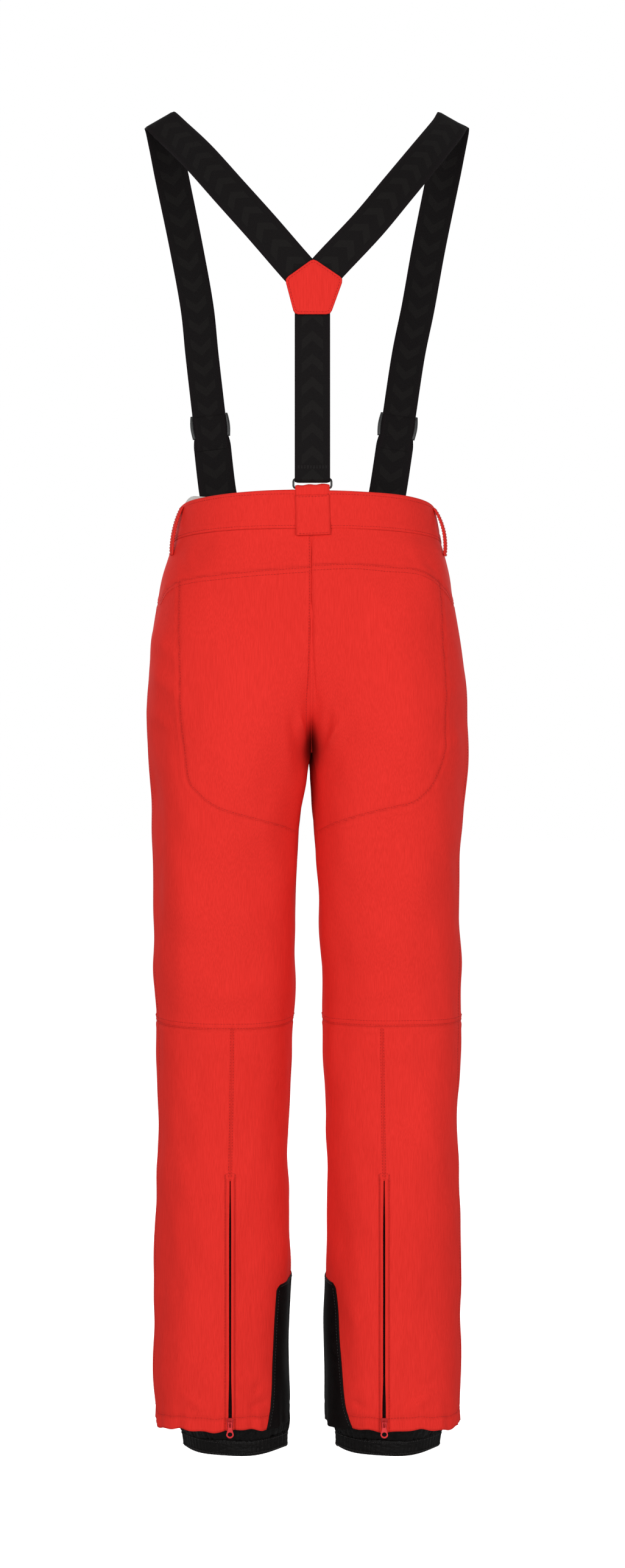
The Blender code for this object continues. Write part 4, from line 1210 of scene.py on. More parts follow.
def make_waistband():
    """The folded band, its grey facing, its stitches and seam lines."""
    ring = new_object("waistband_sewn", ring_mesh("waistband_sewn", waist_ring(band_profile)), "red")
    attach(ring, "root")
    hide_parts("waistband")
    facing = new_object("waist_facing", ring_mesh("waist_facing", waist_ring(lining_profile)), "lining")
    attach(facing, "root")
    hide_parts("waistband_lining")
    threads, lines = Gather(), Gather()
    stations = waist_angles() + waist_angles()[:1]
    # the seam lines are tubes in the darker seam material, painted shade of the band's seams
    for z, gather in ((-0.0036, threads), (-0.0396, threads), (-0.0431, lines)):
        points = np.array([waist_point(side, angle, z, band_height(side, angle, z))
                           for side, angle in stations])
        normals = unit(points * (1.0, 1.0, 0.0))
        if gather is threads:
            threads.stitches(points, normals)
        else:
            lines.tube(points[:-1], normals[:-1], 0.0009, 0.0007, closed=True)
    z = np.linspace(-0.001, -0.0425, 15)
    points, forward = waist_point(1, np.full(15, -180.0), z, 0.0016), repeated((0, -1, 0), 15)
    lines.tube(points, forward, 0.0010, 0.0010)
    for offset in (0.0030, 0.0080):
        edge = np.stack([np.full(15, -offset), np.full(15, points[:, 1].mean() - 0.0003),
                         z - FRONT_DIP * (1 + z / DIP_FADE)], axis=1)
        threads.stitches(edge, forward)
    for gather, name, look in ((threads, "waist_topstitching", "red_thread"),
                               (lines, "waist_seam_lines", "seam")):
        piece = gather.make(name, look)
        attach(piece, "root")


def band_height(side, angle, z):
    """How far the band's outer face stands off the bare cloth."""
    profile = band_profile(side, angle)[:OUTER_FACE]
    return float(np.interp(z, profile[:, 0], profile[:, 1]))


LOOP_TOP_Z = -0.0030
LOOP_LOW_Z = -0.0625
LOOP_WIDTH = 0.0115


def make_belt_loops():
    """A side loop each: it stands off the waistband in a bow, by its own reach."""
    for name, side in SIDES:
        angle, reach = (20.0, 0.0044) if side > 0 else (16.0, 0.0060)
        share = np.linspace(0, 1, 40)
        z = LOOP_TOP_Z + (LOOP_LOW_Z - LOOP_TOP_Z) * share
        out = 0.0026 + reach * np.sin(math.pi * np.clip(share * 1.08 - 0.02, 0, 1))**0.75
        path = waist_point(side, np.full(40, angle), z, out)
        across = bare_points(side, np.full(40, angle + 2), z) - bare_points(side, np.full(40, angle - 2), z)
        loop = band("belt_loop_sewn_" + name, path, across, LOOP_WIDTH, 0.0022, "red", columns=7)
        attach(loop, "root")
        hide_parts("belt_loop_" + name)
        threads = Gather()
        for direction in (1, -1):
            edge_rows(threads, path, across * direction, LOOP_WIDTH, 0.0011, margin=0.0020)
        piece = threads.make("belt_loop_stitching_" + name, "red_thread")
        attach(piece, "root")


# Profiles of the snap's parts: (radius, height) pairs from the middle outward
SNAP_CAP = ((0.0, 0.0021), (0.0022, 0.0020), (0.0044, 0.0015), (0.0050, 0.0010), (0.0055, 0.0013),
            (0.0064, 0.0014), (0.0073, 0.0009), (0.0075, 0.0001), (0.0072, -0.0006), (0.0, -0.0006))
SNAP_STUD = ((0.0, 0.0009), (0.0013, 0.0008), (0.0016, 0.0004), (0.0022, 0.0002), (0.0044, 0.0002),
             (0.0047, -0.0003), (0.0, -0.0003))
SNAP_SOCKET = ((0.0, 0.0001), (0.0020, 0.0001), (0.0023, 0.0002), (0.0026, 0.0009), (0.0029, 0.0011),
               (0.0040, 0.0010), (0.0049, 0.0006), (0.0053, 0.0), (0.0, -0.0006))


def make_waist_tab():
    """The closing tab at the front, with a snap: a domed cap, a stud behind it and its socket."""
    low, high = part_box("waist_tab")
    corners = [(low.x, low.z), (high.x - 0.005, low.z), (high.x, low.z + 0.005), (high.x, high.z - 0.005),
               (high.x - 0.005, high.z), (low.x, high.z)]
    y = (low.y + high.y) / 2
    flipped, loop = sewn_patch("waist_tab_sewn", [(-x, z) for x, z in corners], 0.0, 0.0024, "red")
    half_turn = Matrix.Translation((0, y, 0)) @ Matrix.Rotation(math.pi, 4, "Z")
    flipped.data.transform(half_turn)
    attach(flipped, "waist_tab")
    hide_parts("waist_tab")
    threads = Gather()
    turned = loop * (-1, -1, 1) + (0, y, 0)
    threads.stitches(turned, repeated((0, -1, 0), len(turned)))
    piece = threads.make("waist_tab_stitching", "red_thread")
    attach(piece, "waist_tab")
    low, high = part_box("waist_snap")
    centre = (low + high) / 2
    under_tab = y + 0.0011
    for part, profile, at, turn, body in (("cap", SNAP_CAP, centre.y, 90, "waist_tab"),
                                          ("stud", SNAP_STUD, under_tab, -90, "waist_tab"),
                                          ("socket", SNAP_SOCKET, under_tab, 90, "root")):
        snap = lathe("waist_snap_" + part, profile, 48, "steel")
        snap.data.transform(Matrix.Translation((centre.x, at, centre.z))
                            @ Matrix.Rotation(math.radians(turn), 4, "X"))
        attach(snap, body)
        if part == "cap":
            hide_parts("waist_snap")


def lathe(name, profile, steps, material):
    """Turns (radius, height) pairs about local Z."""
    turn = np.arange(steps) * 2 * math.pi / steps
    points = [[(max(r, 1e-5) * math.cos(t), max(r, 1e-5) * math.sin(t), h) for t in turn] for r, h in profile]
    mesh = mesh_from(name, np.array(points).reshape(-1, 3), grid_faces(len(profile), steps, closed=True))
    recalculate(mesh)
    return new_object(name, mesh, material)


# Braces -------------------------------------------------------------------------------------------
WEBBING_WIDTH = 0.040
WEBBING = 0.0020
TAB_WIDTH = 0.039
DRIFT_TOP = 0.0030         # both front straps hang a little to the left, more so lower down
DRIFT_LOW = 0.0060


def front_stretch(side):
    """The upper and lower end of the strap's straight front stretch."""
    high = Vector((side * FRONT_TOP[0] + DRIFT_TOP, *FRONT_TOP[1:]))
    low = Vector((side * FRONT_LOW[0] + DRIFT_LOW, *FRONT_LOW[1:]))
    return high, low


def strap_frame(side):
    """The straight front stretch's frame: local X across, Y off the strap, Z along it."""
    high, low = front_stretch(side)
    share = (ADJUSTER_Z - low.z) / (high.z - low.z)
    along = (high - low).normalized()
    out = along.cross(Vector((1, 0, 0))).normalized()
    across = out.cross(along).normalized()
    matrix = Matrix((across, out, across.cross(out))).transposed().to_4x4()
    matrix.translation = low + (high - low) * share
    return matrix


# Each diagonal strap over the back: x and z as the camera sees them in the middle plane, depth, and
# the cross direction's x and z
OVER_BACK = {
    1: ((0.0545, 0.3299, 0.1040, 0.735, -0.68), (0.0925, 0.3723, 0.0880, 0.735, -0.68),
        (0.1285, 0.4125, 0.0560, 0.74, -0.67), (0.1580, 0.4410, 0.0200, 0.80, -0.60),
        (0.1750, 0.4561, 0.0000, 0.86, -0.51)),
    -1: ((0.0720, 0.3325, 0.1030, 0.769, -0.64), (0.1060, 0.3734, 0.0870, 0.769, -0.64),
         (0.1400, 0.4145, 0.0560, 0.79, -0.61), (0.1650, 0.4450, 0.0200, 0.84, -0.54),
         (0.1722, 0.4561, 0.0000, 0.86, -0.51)),
}


def seen(side, x, z, y):
    """The point at depth y that the camera sees at x, z of the middle plane."""
    near = (CAMERA[1] - y) / CAMERA[1]
    return Vector((CAMERA[0] + (side * x - CAMERA[0]) * near, y, CAMERA[2] + (z - CAMERA[2]) * near))


def front_anchor(side):
    """The strap's end inside the waistband: its place, the direction off the cloth, the one along it."""
    z = -0.012
    angle = float(angle_at(z, 0.102 + side * DRIFT_LOW, behind=False))
    normal = normals_at(side, angle, z)
    normal[2] = 0
    normal = Vector(unit(normal))
    place = Vector(bare_points(side, angle, z)) - normal * ANCHOR_DEPTH
    return place, normal, outward_in_x(side, Vector((-normal.y, normal.x, 0.0)))


def outward_in_x(side, direction):
    """The direction, turned so that it points away from the centre line."""
    return direction if direction.x * side > 0 else -direction


def shoulder_path(side):
    """The strap's centre line and cross direction: where the photo shows it, then down the front."""
    along = Vector((side * 0.669, 0.0, 0.743))
    perpendicular = Vector((side * 0.743, 0.0, -0.669))
    join = Vector((REAR_X + side * 0.0004, 0.1080, STRAP_JOIN_HIGH_Z))
    start = join + perpendicular * WEBBING_WIDTH / 2
    anchor, _, tangent = front_anchor(side)
    cross = outward_in_x(side, strap_frame(side).col[0].to_3d())
    high, low = front_stretch(side)

    def row(x, y, z, cross_x, cross_z):
        return Vector((side * x, y, z)), Vector((side * cross_x, 0, cross_z))

    return [
        (start - along * 0.018, perpendicular),
        (start + along * 0.012, perpendicular),
        *((seen(side, *spot), Vector((side * cross_x, 0, cross_z)))
          for *spot, cross_x, cross_z in OVER_BACK[side]),
        row(0.1735, -0.0180, 0.4500, 0.90, -0.44),
        row(0.1630, -0.0640, 0.3980, 0.97, -0.22),
        row(0.1495, -0.0930, 0.3306, 0.985, -0.17),
        row(0.1370, -0.1030, 0.2600, 0.985, -0.17),
        (high, cross),
        (high.lerp(low, 0.5), cross),
        (low, cross),
        (anchor + Vector((0, -0.004, 0.026)), (cross * 3 + tangent).normalized()),
        (anchor + Vector((0, 0, 0.008)), tangent),
        (anchor + Vector((0, 0, -0.026)), tangent),
    ]


def make_shoulder_strap(name, side):
    """The webbing from the patch over the shoulder to the waist; it widens a little in front."""
    path, across = along_curve(shoulder_path(side))
    in_front = smoothstep((-0.03 - path[:, 1]) / 0.03)
    below_slide = smoothstep((ADJUSTER_Z - 0.006 - path[:, 2]) / 0.020)
    spread = 1 + in_front * (0.03 + 0.12 * below_slide)
    strap = band("shoulder_webbing_" + name, path, across, WEBBING_WIDTH, WEBBING, "webbing", columns=12,
                 spread=spread)
    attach(strap, "root")
    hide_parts("shoulder_strap_" + name)


def make_front_anchor(name, side):
    """The red patch that holds the strap's end inside the waistband, with its rows of stitches."""
    anchor, normal, tangent = front_anchor(side)
    plate = anchor - normal * 0.0023
    line = np.linspace(-0.002, -0.026, 9)
    path = np.array([tuple(plate + Vector((0, 0, z))) for z in line])
    anchor_patch = band("front_anchor_patch_" + name, path, repeated(tangent, 9), 0.042, 0.0015, "red")
    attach(anchor_patch, "root")
    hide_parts("front_anchor_" + name)
    threads = Gather()
    up = -np.array(normal)
    for z in (-0.005, -0.014, -0.023):
        cross_row(threads, np.array(plate) + (0, 0, z) + up * 0.00075, tangent, up, 0.040)
    piece = threads.make("front_anchor_stitching_" + name, "black_thread")
    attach(piece, "root")


SLIDE_HALF_HEIGHT = 0.0140
SLIDE_HALF_WIDTH = 0.0210
# The webbing's way round the slide's top bar and down behind it: off the strap, and along it
SLIDE_TURN = ((-0.0022, 0.0095), (-0.0012, 0.0122), (0.0010, 0.0130), (0.0024, 0.0112), (0.0024, 0.0060),
              (0.0020, -0.0040), (0.0010, -0.0180), (0.0001, -0.0300))


def make_adjuster(name, side):
    """A three-bar slide: bowed side bars, three cross bars in front and the webbing's turn behind."""
    frame = strap_frame(side)
    bars = Gather()
    z = np.linspace(-SLIDE_HALF_HEIGHT, SLIDE_HALF_HEIGHT, 21)
    bow = SLIDE_HALF_WIDTH + 0.0014 * np.cos(z / SLIDE_HALF_HEIGHT * math.pi / 2)
    for flip in (1, -1):
        path = np.stack([flip * bow, 0.0005 - 0.0012 * (z / SLIDE_HALF_HEIGHT)**2, z], axis=1)
        bars.tube(path, repeated((0, 1, 0), 21), 0.0046, 0.0050, sides=12)
    x = np.linspace(-SLIDE_HALF_WIDTH, SLIDE_HALF_WIDTH, 15)
    for level, height in ((0.0128, 0.0044), (0.0, 0.0036), (-0.0128, 0.0044)):
        path = np.stack([x, -0.0026 - 0.0006 * (1 - (x / 0.0222)**2), np.full(15, level)], axis=1)
        bars.tube(path, repeated((0, 1, 0), 15), height, 0.0024, sides=10)
    slide = bars.make("strap_slide_" + name, "plastic")
    slide.data.transform(frame)
    recalculate(slide.data)
    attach(slide, "adjuster_" + name)
    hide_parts("adjuster_" + name)
    path, across = along_curve([((0.0, y, z), (1, 0, 0)) for y, z in SLIDE_TURN], 0.0012)
    wrap = band("webbing_turn_" + name, path, across, WEBBING_WIDTH + 0.0012, 0.0016, "webbing", columns=12)
    wrap.data.transform(frame)
    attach(wrap, "adjuster_" + name)


def half_loop(depth, height, bend):
    """Knots of webbing that goes half way round a bar, from the back over or under to the front."""
    turns = [math.pi * k / 6 for k in range(7)]
    return [((REAR_X, depth + abs(bend) * math.cos(t), height + bend * math.sin(t)), (1, 0, 0))
            for t in turns]


def make_rear_tab():
    """The red loop that comes out of the waistband, round the ring and back."""
    bend = 0.0034
    knots = [((REAR_X, LOOP_Y + bend, z), (1, 0, 0)) for z in (-0.0050, 0.0010)]
    knots += half_loop(LOOP_Y, RING_LOW_Z, bend)
    knots += [((REAR_X, LOOP_Y - bend - 0.0002, -0.008), (1, 0, 0)),
              ((REAR_X, LOOP_Y - bend + 0.0012, -0.036), (1, 0, 0))]
    path, across = along_curve(knots, 0.0010)
    tab = band("rear_tab_loop", path, across, TAB_WIDTH, 0.0017, "red", columns=14)
    for vertex in tab.data.vertices:
        crest = max(0.0, vertex.co.z / 0.008)
        vertex.co.z += crest * 0.0005 * math.sin((vertex.co.x - REAR_X) * 420)
        vertex.co.z -= crest * 0.0010 * (vertex.co.x - REAR_X) / 0.02
    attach(tab, "root")
    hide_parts("rear_tab")


def make_rear_flap():
    """The flap that hangs over the waistband, a little askew, with stitches round its edge."""
    top, low = -0.0048, -0.0505
    share = np.linspace(0, 1, 24)
    path = np.stack([REAR_X - 0.0012 * share, 0.1106 + 0.0034 * share - 0.0008 * np.sin(math.pi * share),
                     top + (low - top) * share], axis=1)
    across = unit(repeated((1, 0, -0.035), 24))
    flap = band("rear_flap_sewn", path, across, TAB_WIDTH, 0.0021, "red", columns=14)
    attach(flap, "rear_flap")
    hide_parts("rear_flap")
    threads = Gather()
    edge_rows(threads, path[1:-1], -across[1:-1], TAB_WIDTH, 0.00105, 0.0030)
    for end in (path[1], path[-2]):
        cross_row(threads, end + (0, 0.0011, 0), across[0], (0, 1, 0), TAB_WIDTH)
    piece = threads.make("rear_flap_stitching", "red_thread")
    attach(piece, "rear_flap")


def make_rear_strap():
    """The webbing from the ring up to the patch."""
    bend = 0.00355
    knots = [((REAR_X, LOOP_Y - bend, z), (1, 0, 0)) for z in (0.030, 0.0185)]
    knots += half_loop(LOOP_Y, RING_HIGH_Z, -bend)[::-1]
    knots += [((REAR_X, LOOP_Y + bend, 0.0185), (1, 0, 0)), ((REAR_X, 0.1092, 0.060), (1, 0, 0)),
              ((REAR_X, 0.1088, 0.120), (1, 0, 0)), ((REAR_X, 0.1080, STRAP_JOIN_LOW_Z + 0.004), (1, 0, 0))]
    path, across = along_curve(knots, 0.0015)
    strap = band("rear_webbing", path, across, WEBBING_WIDTH, WEBBING, "webbing", columns=12)
    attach(strap, "root")
    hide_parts("rear_strap")
    threads = Gather()
    for z in (0.0255, 0.0275):
        cross_row(threads, (REAR_X, LOOP_Y + bend + 0.0011, z), (1, 0, 0), (0, 1, 0), WEBBING_WIDTH)
    piece = threads.make("rear_webbing_stitching", "black_thread")
    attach(piece, "root")


def make_back_patch():
    """The five-sided patch that joins the three straps."""
    corners = [(-0.0010, 0.2615), (0.0310, 0.2385), (0.0205, 0.1985), (-0.0205, 0.1985), (-0.0350, 0.2385)]
    patch, loop = sewn_patch("back_patch_sewn", [(REAR_X + x, z) for x, z in corners], 0.1120, 0.0022, "red")
    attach(patch, "root")
    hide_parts("back_patch")
    threads = Gather()
    threads.stitches(loop, repeated((0, 1, 0), len(loop)))
    piece = threads.make("back_patch_stitching", "red_thread")
    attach(piece, "root")


def make_upper():
    """Waistband, tab, braces and rear fastening."""
    make_waistband()
    make_belt_loops()
    make_waist_tab()
    for name, side in SIDES:
        make_shoulder_strap(name, side)
        make_front_anchor(name, side)
    for name, side in SIDES:
        make_adjuster(name, side)
    make_rear_tab()
    make_rear_flap()
    make_rear_strap()
    make_back_patch()


make_upper()


# Zips ---------------------------------------------------------------------------------------------
def line_frame(high, low, outward):
    """A zip's frame at its middle, with local Y outward and Z along the zip, and its length."""
    high, low, outward = Vector(high), Vector(low), Vector(outward)
    along = high - low
    normal = (outward - along * (outward.dot(along) / along.length_squared)).normalized()
    across = normal.cross(along).normalized()
    matrix = Matrix((across, normal, across.cross(normal))).transposed().to_4x4()
    matrix.translation = (high + low) / 2
    return matrix, along.length


def flat_plate(name, outline, holes, thickness, rounding, material, frame):
    """A plate with rounded edges in the frame's X-Z plane."""
    curve = bpy.data.curves.new(name, "CURVE")
    curve.dimensions = "2D"
    curve.fill_mode = "BOTH"
    curve.extrude = thickness / 2 - rounding
    curve.bevel_depth = rounding
    curve.bevel_resolution = 2
    curve.offset = -rounding
    for loop in [outline] + list(holes):
        spline = curve.splines.new("POLY")
        spline.points.add(len(loop) - 1)
        for point, (x, z) in zip(spline.points, loop):
            point.co = (x, z, 0.0, 1.0)
        spline.use_cyclic_u = True
    obj = bpy.data.objects.new(name, curve)
    bpy.context.scene.collection.objects.link(obj)
    graph = bpy.context.evaluated_depsgraph_get()
    mesh = bpy.data.meshes.new_from_object(obj.evaluated_get(graph))
    mesh.name = name
    bpy.data.objects.remove(obj, do_unlink=True)
    mesh.transform(frame @ Matrix.Rotation(math.radians(90), 4, "X"))
    mesh.shade_smooth()
    mesh.set_sharp_from_angle(angle=math.radians(42))
    mesh.materials.clear()
    return new_object(name, mesh, material)


def oval(centre_z, half_width, half_height):
    """An oval hole of a plate, as a closed run of points."""
    turns = [2 * math.pi * k / 24 for k in range(24)]
    return [(half_width * math.cos(t), centre_z + half_height * math.sin(t)) for t in turns]


def zip_slider(name, at, body):
    """A slider: a waisted top plate with raised rims, the neck below it and the bail above."""
    outline = [(0.0030, 0.0056), (0.0040, 0.0047), (0.0041, 0.0020), (0.0033, -0.0012), (0.0032, -0.0044),
               (0.0022, -0.0056)]
    outline = outline + [(-x, z) for x, z in reversed(outline)]
    plate = flat_plate(name + "_sewn", outline, [], 0.0016, 0.0004, "zip_plastic",
                       at @ Matrix.Translation((0, 0.0012, 0)))
    parts = Gather()
    for flip in (1, -1):
        rim = smooth_curve([(flip * 0.0026, 0.0020, 0.0046), (flip * 0.0033, 0.0020, 0.0030),
                            (flip * 0.0025, 0.0020, -0.0010), (flip * 0.0023, 0.0020, -0.0042)], 0.0006)
        parts.tube(rim, repeated((0, 1, 0), len(rim)), 0.0009, 0.0007, sides=8)
    bail = smooth_curve([(0, 0.0016, -0.0026), (0, 0.0036, -0.0025), (0, 0.0045, -0.0014), (0, 0.0047, 0.0),
                         (0, 0.0045, 0.0014), (0, 0.0036, 0.0025), (0, 0.0016, 0.0026)], 0.0004)
    parts.tube(bail, repeated((1, 0, 0), len(bail)), 0.0009, 0.0012, sides=8)
    parts.box(Matrix.Identity(4), (-0.0008, -0.0022, -0.0036), (0.0008, 0.0010, 0.0036))
    bail_mesh = parts.make(name + "_bail", "zip_plastic")
    bail_mesh.data.transform(at)
    recalculate(bail_mesh.data)
    for piece in (plate, bail_mesh):
        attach(piece, body)
    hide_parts(name)


def zip_puller(name, at, body, length):
    """A moulded puller with a slot round the bail and an oval finger ring."""
    half_top, half_low = 0.0026, 0.0043
    end = [(half_low * math.cos(t), -length + half_low + half_low * math.sin(t))
           for t in np.linspace(math.pi, 2 * math.pi, 17)]
    neck = [(-half_top, 0.0008), (-0.0023, -0.0040), (-0.0025, -0.0072)]
    outline = neck + end + [(-x, z) for x, z in reversed(neck)]
    slot = [(-0.0012, -0.0007), (-0.0012, -0.0054), (0.0012, -0.0054), (0.0012, -0.0007)]
    hinge = at @ Matrix.Translation((0, PULLER_AXIS_OUT, PULLER_AXIS_UP))
    ring = oval(-length + half_low, 0.0027, 0.0025)
    puller = flat_plate(name + "_moulded", outline, [slot, ring], 0.0013, 0.0004, "puller", hinge)
    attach(puller, body)
    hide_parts(name)


COIL_PITCH = 0.0014


def zip_teeth(gather, path, normals, depth):
    """Two interlocked rows of nylon coil behind the zip's lips."""
    across = unit(np.cross(unit(np.gradient(path, axis=0)), normals))
    base = path - normals * depth
    run = run_length(base)
    for flip, phase in ((1, 0.0), (-1, 0.5)):
        marks = (np.arange(int(run[-1] / COIL_PITCH)) + phase) * COIL_PITCH

        def at(values):
            return np.stack([np.interp(marks, run, values[:, k]) for k in range(3)], axis=1)

        spot, side, up = at(base), at(across) * flip, at(normals)
        for start, stop in zip(spot - side * 0.0005, spot + side * 0.0024):
            line = np.stack([start, (start + stop) / 2, stop])
            gather.tube(line, repeated(up[0], 3), 0.0007, 0.0010, sides=5)


def zip_behind(prefix, body, path, normals, tape_width, across):
    """The tape and the coil of a zip, behind the cloth."""
    tape = band(prefix + "_woven_tape", path - normals * 0.0042, across, tape_width, 0.0008, "tape")
    teeth = Gather()
    zip_teeth(teeth, path, normals, 0.0030)
    coil = teeth.make(prefix + "_coil_teeth", "coil")
    for piece, node in ((tape, "_tape"), (coil, "_coil")):
        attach(piece, body)
        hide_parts(prefix + node)


def make_leg_zip(name, side):
    """The calf zip: tape and coil behind the lips, the slider near the hem and its puller."""
    z = np.linspace(LEG_ZIP_TOP_Z + 0.002, HEM_Z + 0.0015, 190)
    run = np.stack([angle_at(z, LEG_ZIP_X), z], axis=1)
    path, normals = lay(side, run, 0.0)
    across = unit(np.cross(np.gradient(path, axis=0), normals)) * side
    zip_behind(name + "_leg_zip", name + "_lower_leg", path, normals, 0.016, across)
    high = bare_points(side, angle_at(LEG_ZIP_TOP_Z, LEG_ZIP_X), LEG_ZIP_TOP_Z)
    low = bare_points(side, angle_at(HEM_Z, LEG_ZIP_X), HEM_Z + 0.004)
    frame, length = line_frame(high, low, (0, 1, 0))
    at = frame @ Matrix.Translation((0, SLIDER_STANDOFF, -length / 2 + 0.006))
    prefix = name + "_leg_zip"
    zip_slider(prefix + "_slider", at, prefix + "_slider")
    zip_puller(prefix + "_puller", at, prefix + "_puller", 0.0175)


def make_fly_zip():
    """The fly's tape and coil on the centre line, its slider near the top and its puller."""
    z = np.linspace(-0.044, FLY_BOTTOM_Z, 90)
    path = bare_points(1, np.full(90, -180.0), z)
    path[:, 0] = 0.0
    zip_behind("fly_zip", "root", path, repeated((0, -1, 0), 90), 0.026, repeated((1, 0, 0), 90))
    high, low = bare_points(1, -180, FLY_TOP_Z), bare_points(1, -180, FLY_BOTTOM_Z)
    high[0] = low[0] = 0.0
    frame, length = line_frame(high, low, (0, -1, 0))
    at = frame @ Matrix.Translation((0, SLIDER_STANDOFF, length / 2 - 0.008))
    zip_slider("fly_zip_slider", at, "fly_zip_slider")
    zip_puller("fly_zip_puller", at, "fly_zip_puller", 0.020)


def make_fly_shield():
    """The strip of cloth behind the fly zip."""
    low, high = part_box("fly_shield")
    z = np.linspace(high.z, low.z, 40)
    y = (low.y + high.y) / 2 + 0.0004 * np.sin(z * 90)
    path = np.stack([np.zeros(40), y, z], axis=1)
    shield = band("fly_shield_cloth", path, repeated((1, 0, 0), 40), 0.040, 0.0014, "red")
    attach(shield, "root")
    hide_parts("fly_shield")


# The fly's curved row of stitches, and how its points move when it is set in by a metre
FLY_CURVE = np.array(((0.036, -0.0470), (0.036, -0.110), (0.034, -0.150), (0.022, -0.176), (0.003, -0.190)))
FLY_INSET = np.array(((-1, 0), (-1, 0), (-1, 0.5), (-0.5, 1), (0, 1)))


def make_fly_stitching():
    """Two curved rows beside the fly and the bar tack at its foot."""
    threads = Gather()
    for inset in (0.0, 0.006):
        fly = seam_by_x(FLY_CURVE + FLY_INSET * inset, behind=False)
        threads.stitches(*lay(1, fly, 0.0))
    bar = np.linspace(-0.0035, 0.0035, 7)
    for z in (FLY_BOTTOM_Z - 0.002, FLY_BOTTOM_Z - 0.004):
        depth = bare_points(1, -178.0, z)[1] - 0.0002
        line = np.stack([bar, np.full(7, depth), np.full(7, z)], axis=1)
        threads.stitches(line, repeated((0, -1, 0), 7), pitch=0.0012, length=0.0011)
    piece = threads.make("fly_topstitching", "red_thread")
    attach(piece, "root")


WELT_STEPS = 90
WELT_OVERRUN = 0.12        # the welt goes on past both ends of the zip, as a share of its length
WELT_REACH = 0.0125
# The welt's section: distance from the zip's line and height in its frame, from the cloth to the lip
WELT_PROFILE = ((0.0092, -0.0013), (0.0078, -0.0002), (0.0055, -0.0001), (0.0040, -0.0004), (0.0025, 0.0),
                (0.0014, -0.0002), (0.0010, -0.0008), (0.0011, -0.0024))


def pocket_frame(side):
    """The pocket zip's frame, standing off the cloth, and its length."""
    high, low = bare_points(side, *POCKET_TOP), bare_points(side, *POCKET_BOTTOM)
    middle = ((POCKET_TOP[0] + POCKET_BOTTOM[0]) / 2, (POCKET_TOP[1] + POCKET_BOTTOM[1]) / 2)
    outward = normals_at(side, *middle)
    frame, length = line_frame(high, low, outward)
    rise = float(np.dot(bare_points(side, *middle) - (high + low) / 2, outward)) + 0.0014
    return frame @ Matrix.Translation((0, rise + 0.0018, 0)), length


def placed(frame, x, y, z):
    """Local points of a frame, moved to where the frame is."""
    turned = np.array(frame)
    return np.stack(np.broadcast_arrays(x, y, z), axis=1) @ turned[:3, :3].T + turned[:3, 3]


def make_welt(name, side, frame, length, threads):
    """Two lips that rise from the cloth round the pocket's zip, with a row of stitches on each."""
    half = length / 2
    across, outward = np.array(frame)[:3, 0], np.array(frame)[:3, 1]
    share = np.linspace(-WELT_OVERRUN, 1 + WELT_OVERRUN, WELT_STEPS)
    run = np.array(POCKET_TOP) + share[:, None] * np.subtract(POCKET_BOTTOM, POCKET_TOP)
    ease = smoothstep(np.minimum(share + WELT_OVERRUN, 1 + WELT_OVERRUN - share) / 0.115)[:, None]
    lips = Gather()
    for flip in (1, -1):
        offset = offset_run(side, run, flip * side * WELT_REACH)
        rows = [cloth(side, offset[:, 0], offset[:, 1], -0.0004)]
        sign = 1.0 if np.dot(rows[0][WELT_STEPS // 2] - np.array(frame.translation), across) > 0 else -1.0
        for x, y in WELT_PROFILE:
            raised = placed(frame, sign * x, y, half - share * length)
            lane = offset_run(side, run, flip * side * x)
            sunk = cloth(side, lane[:, 0], lane[:, 1], 0.0004)
            rows.append(sunk + (raised - sunk) * ease)
        lips.add(np.stack(rows, axis=1), grid_faces(WELT_STEPS, len(rows)))
        line = placed(frame, sign * 0.0042, -0.0003, np.linspace(half, -half, 40))
        threads.stitches(line, repeated(outward, 40))
    welt = lips.make("pocket_welt_sewn_" + name, "red")
    bm = bmesh.new()
    bm.from_mesh(welt.data)
    for face in bm.faces:
        if face.normal.dot(Vector(outward)) < -0.2:
            face.normal_flip()
    bm.to_mesh(welt.data)
    bm.free()
    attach(welt, "root")
    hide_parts("pocket_welt_" + name)
    for z in (half + 0.0022, -half - 0.0022):
        line = placed(frame, np.linspace(-0.0046, 0.0046, 9), -0.0003, z)
        threads.stitches(line, repeated(outward, 9), 0.0016, 0.0013)


def make_hand_pocket(name, side):
    """The pocket's welt with its stitches, and the zip's tape, coil, slider and puller."""
    frame, length = pocket_frame(side)
    half = length / 2
    across, outward = np.array(frame)[:3, 0], np.array(frame)[:3, 1]
    threads = Gather()
    make_welt(name, side, frame, length, threads)
    teeth = Gather()
    path = placed(frame, 0.0, -0.0006, np.linspace(half - 0.001, -half + 0.001, 110))
    normals = repeated(outward, 110)
    zip_teeth(teeth, path, normals, 0.0012)
    stitching = threads.make("pocket_stitching_" + name, "red_thread")
    coil = teeth.make("pocket_coil_" + name, "coil")
    tape = band("pocket_tape_" + name, path - normals * 0.0021, repeated(across, 110), 0.0110, 0.0007, "tape")
    for piece in (stitching, coil, tape):
        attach(piece, "root")
    at = frame @ Matrix.Translation((0, 0, half - 0.007))
    zip_slider("pocket_slider_" + name, at, "pocket_slider_" + name)
    zip_puller("pocket_puller_" + name, at, "pocket_puller_" + name, 0.022)


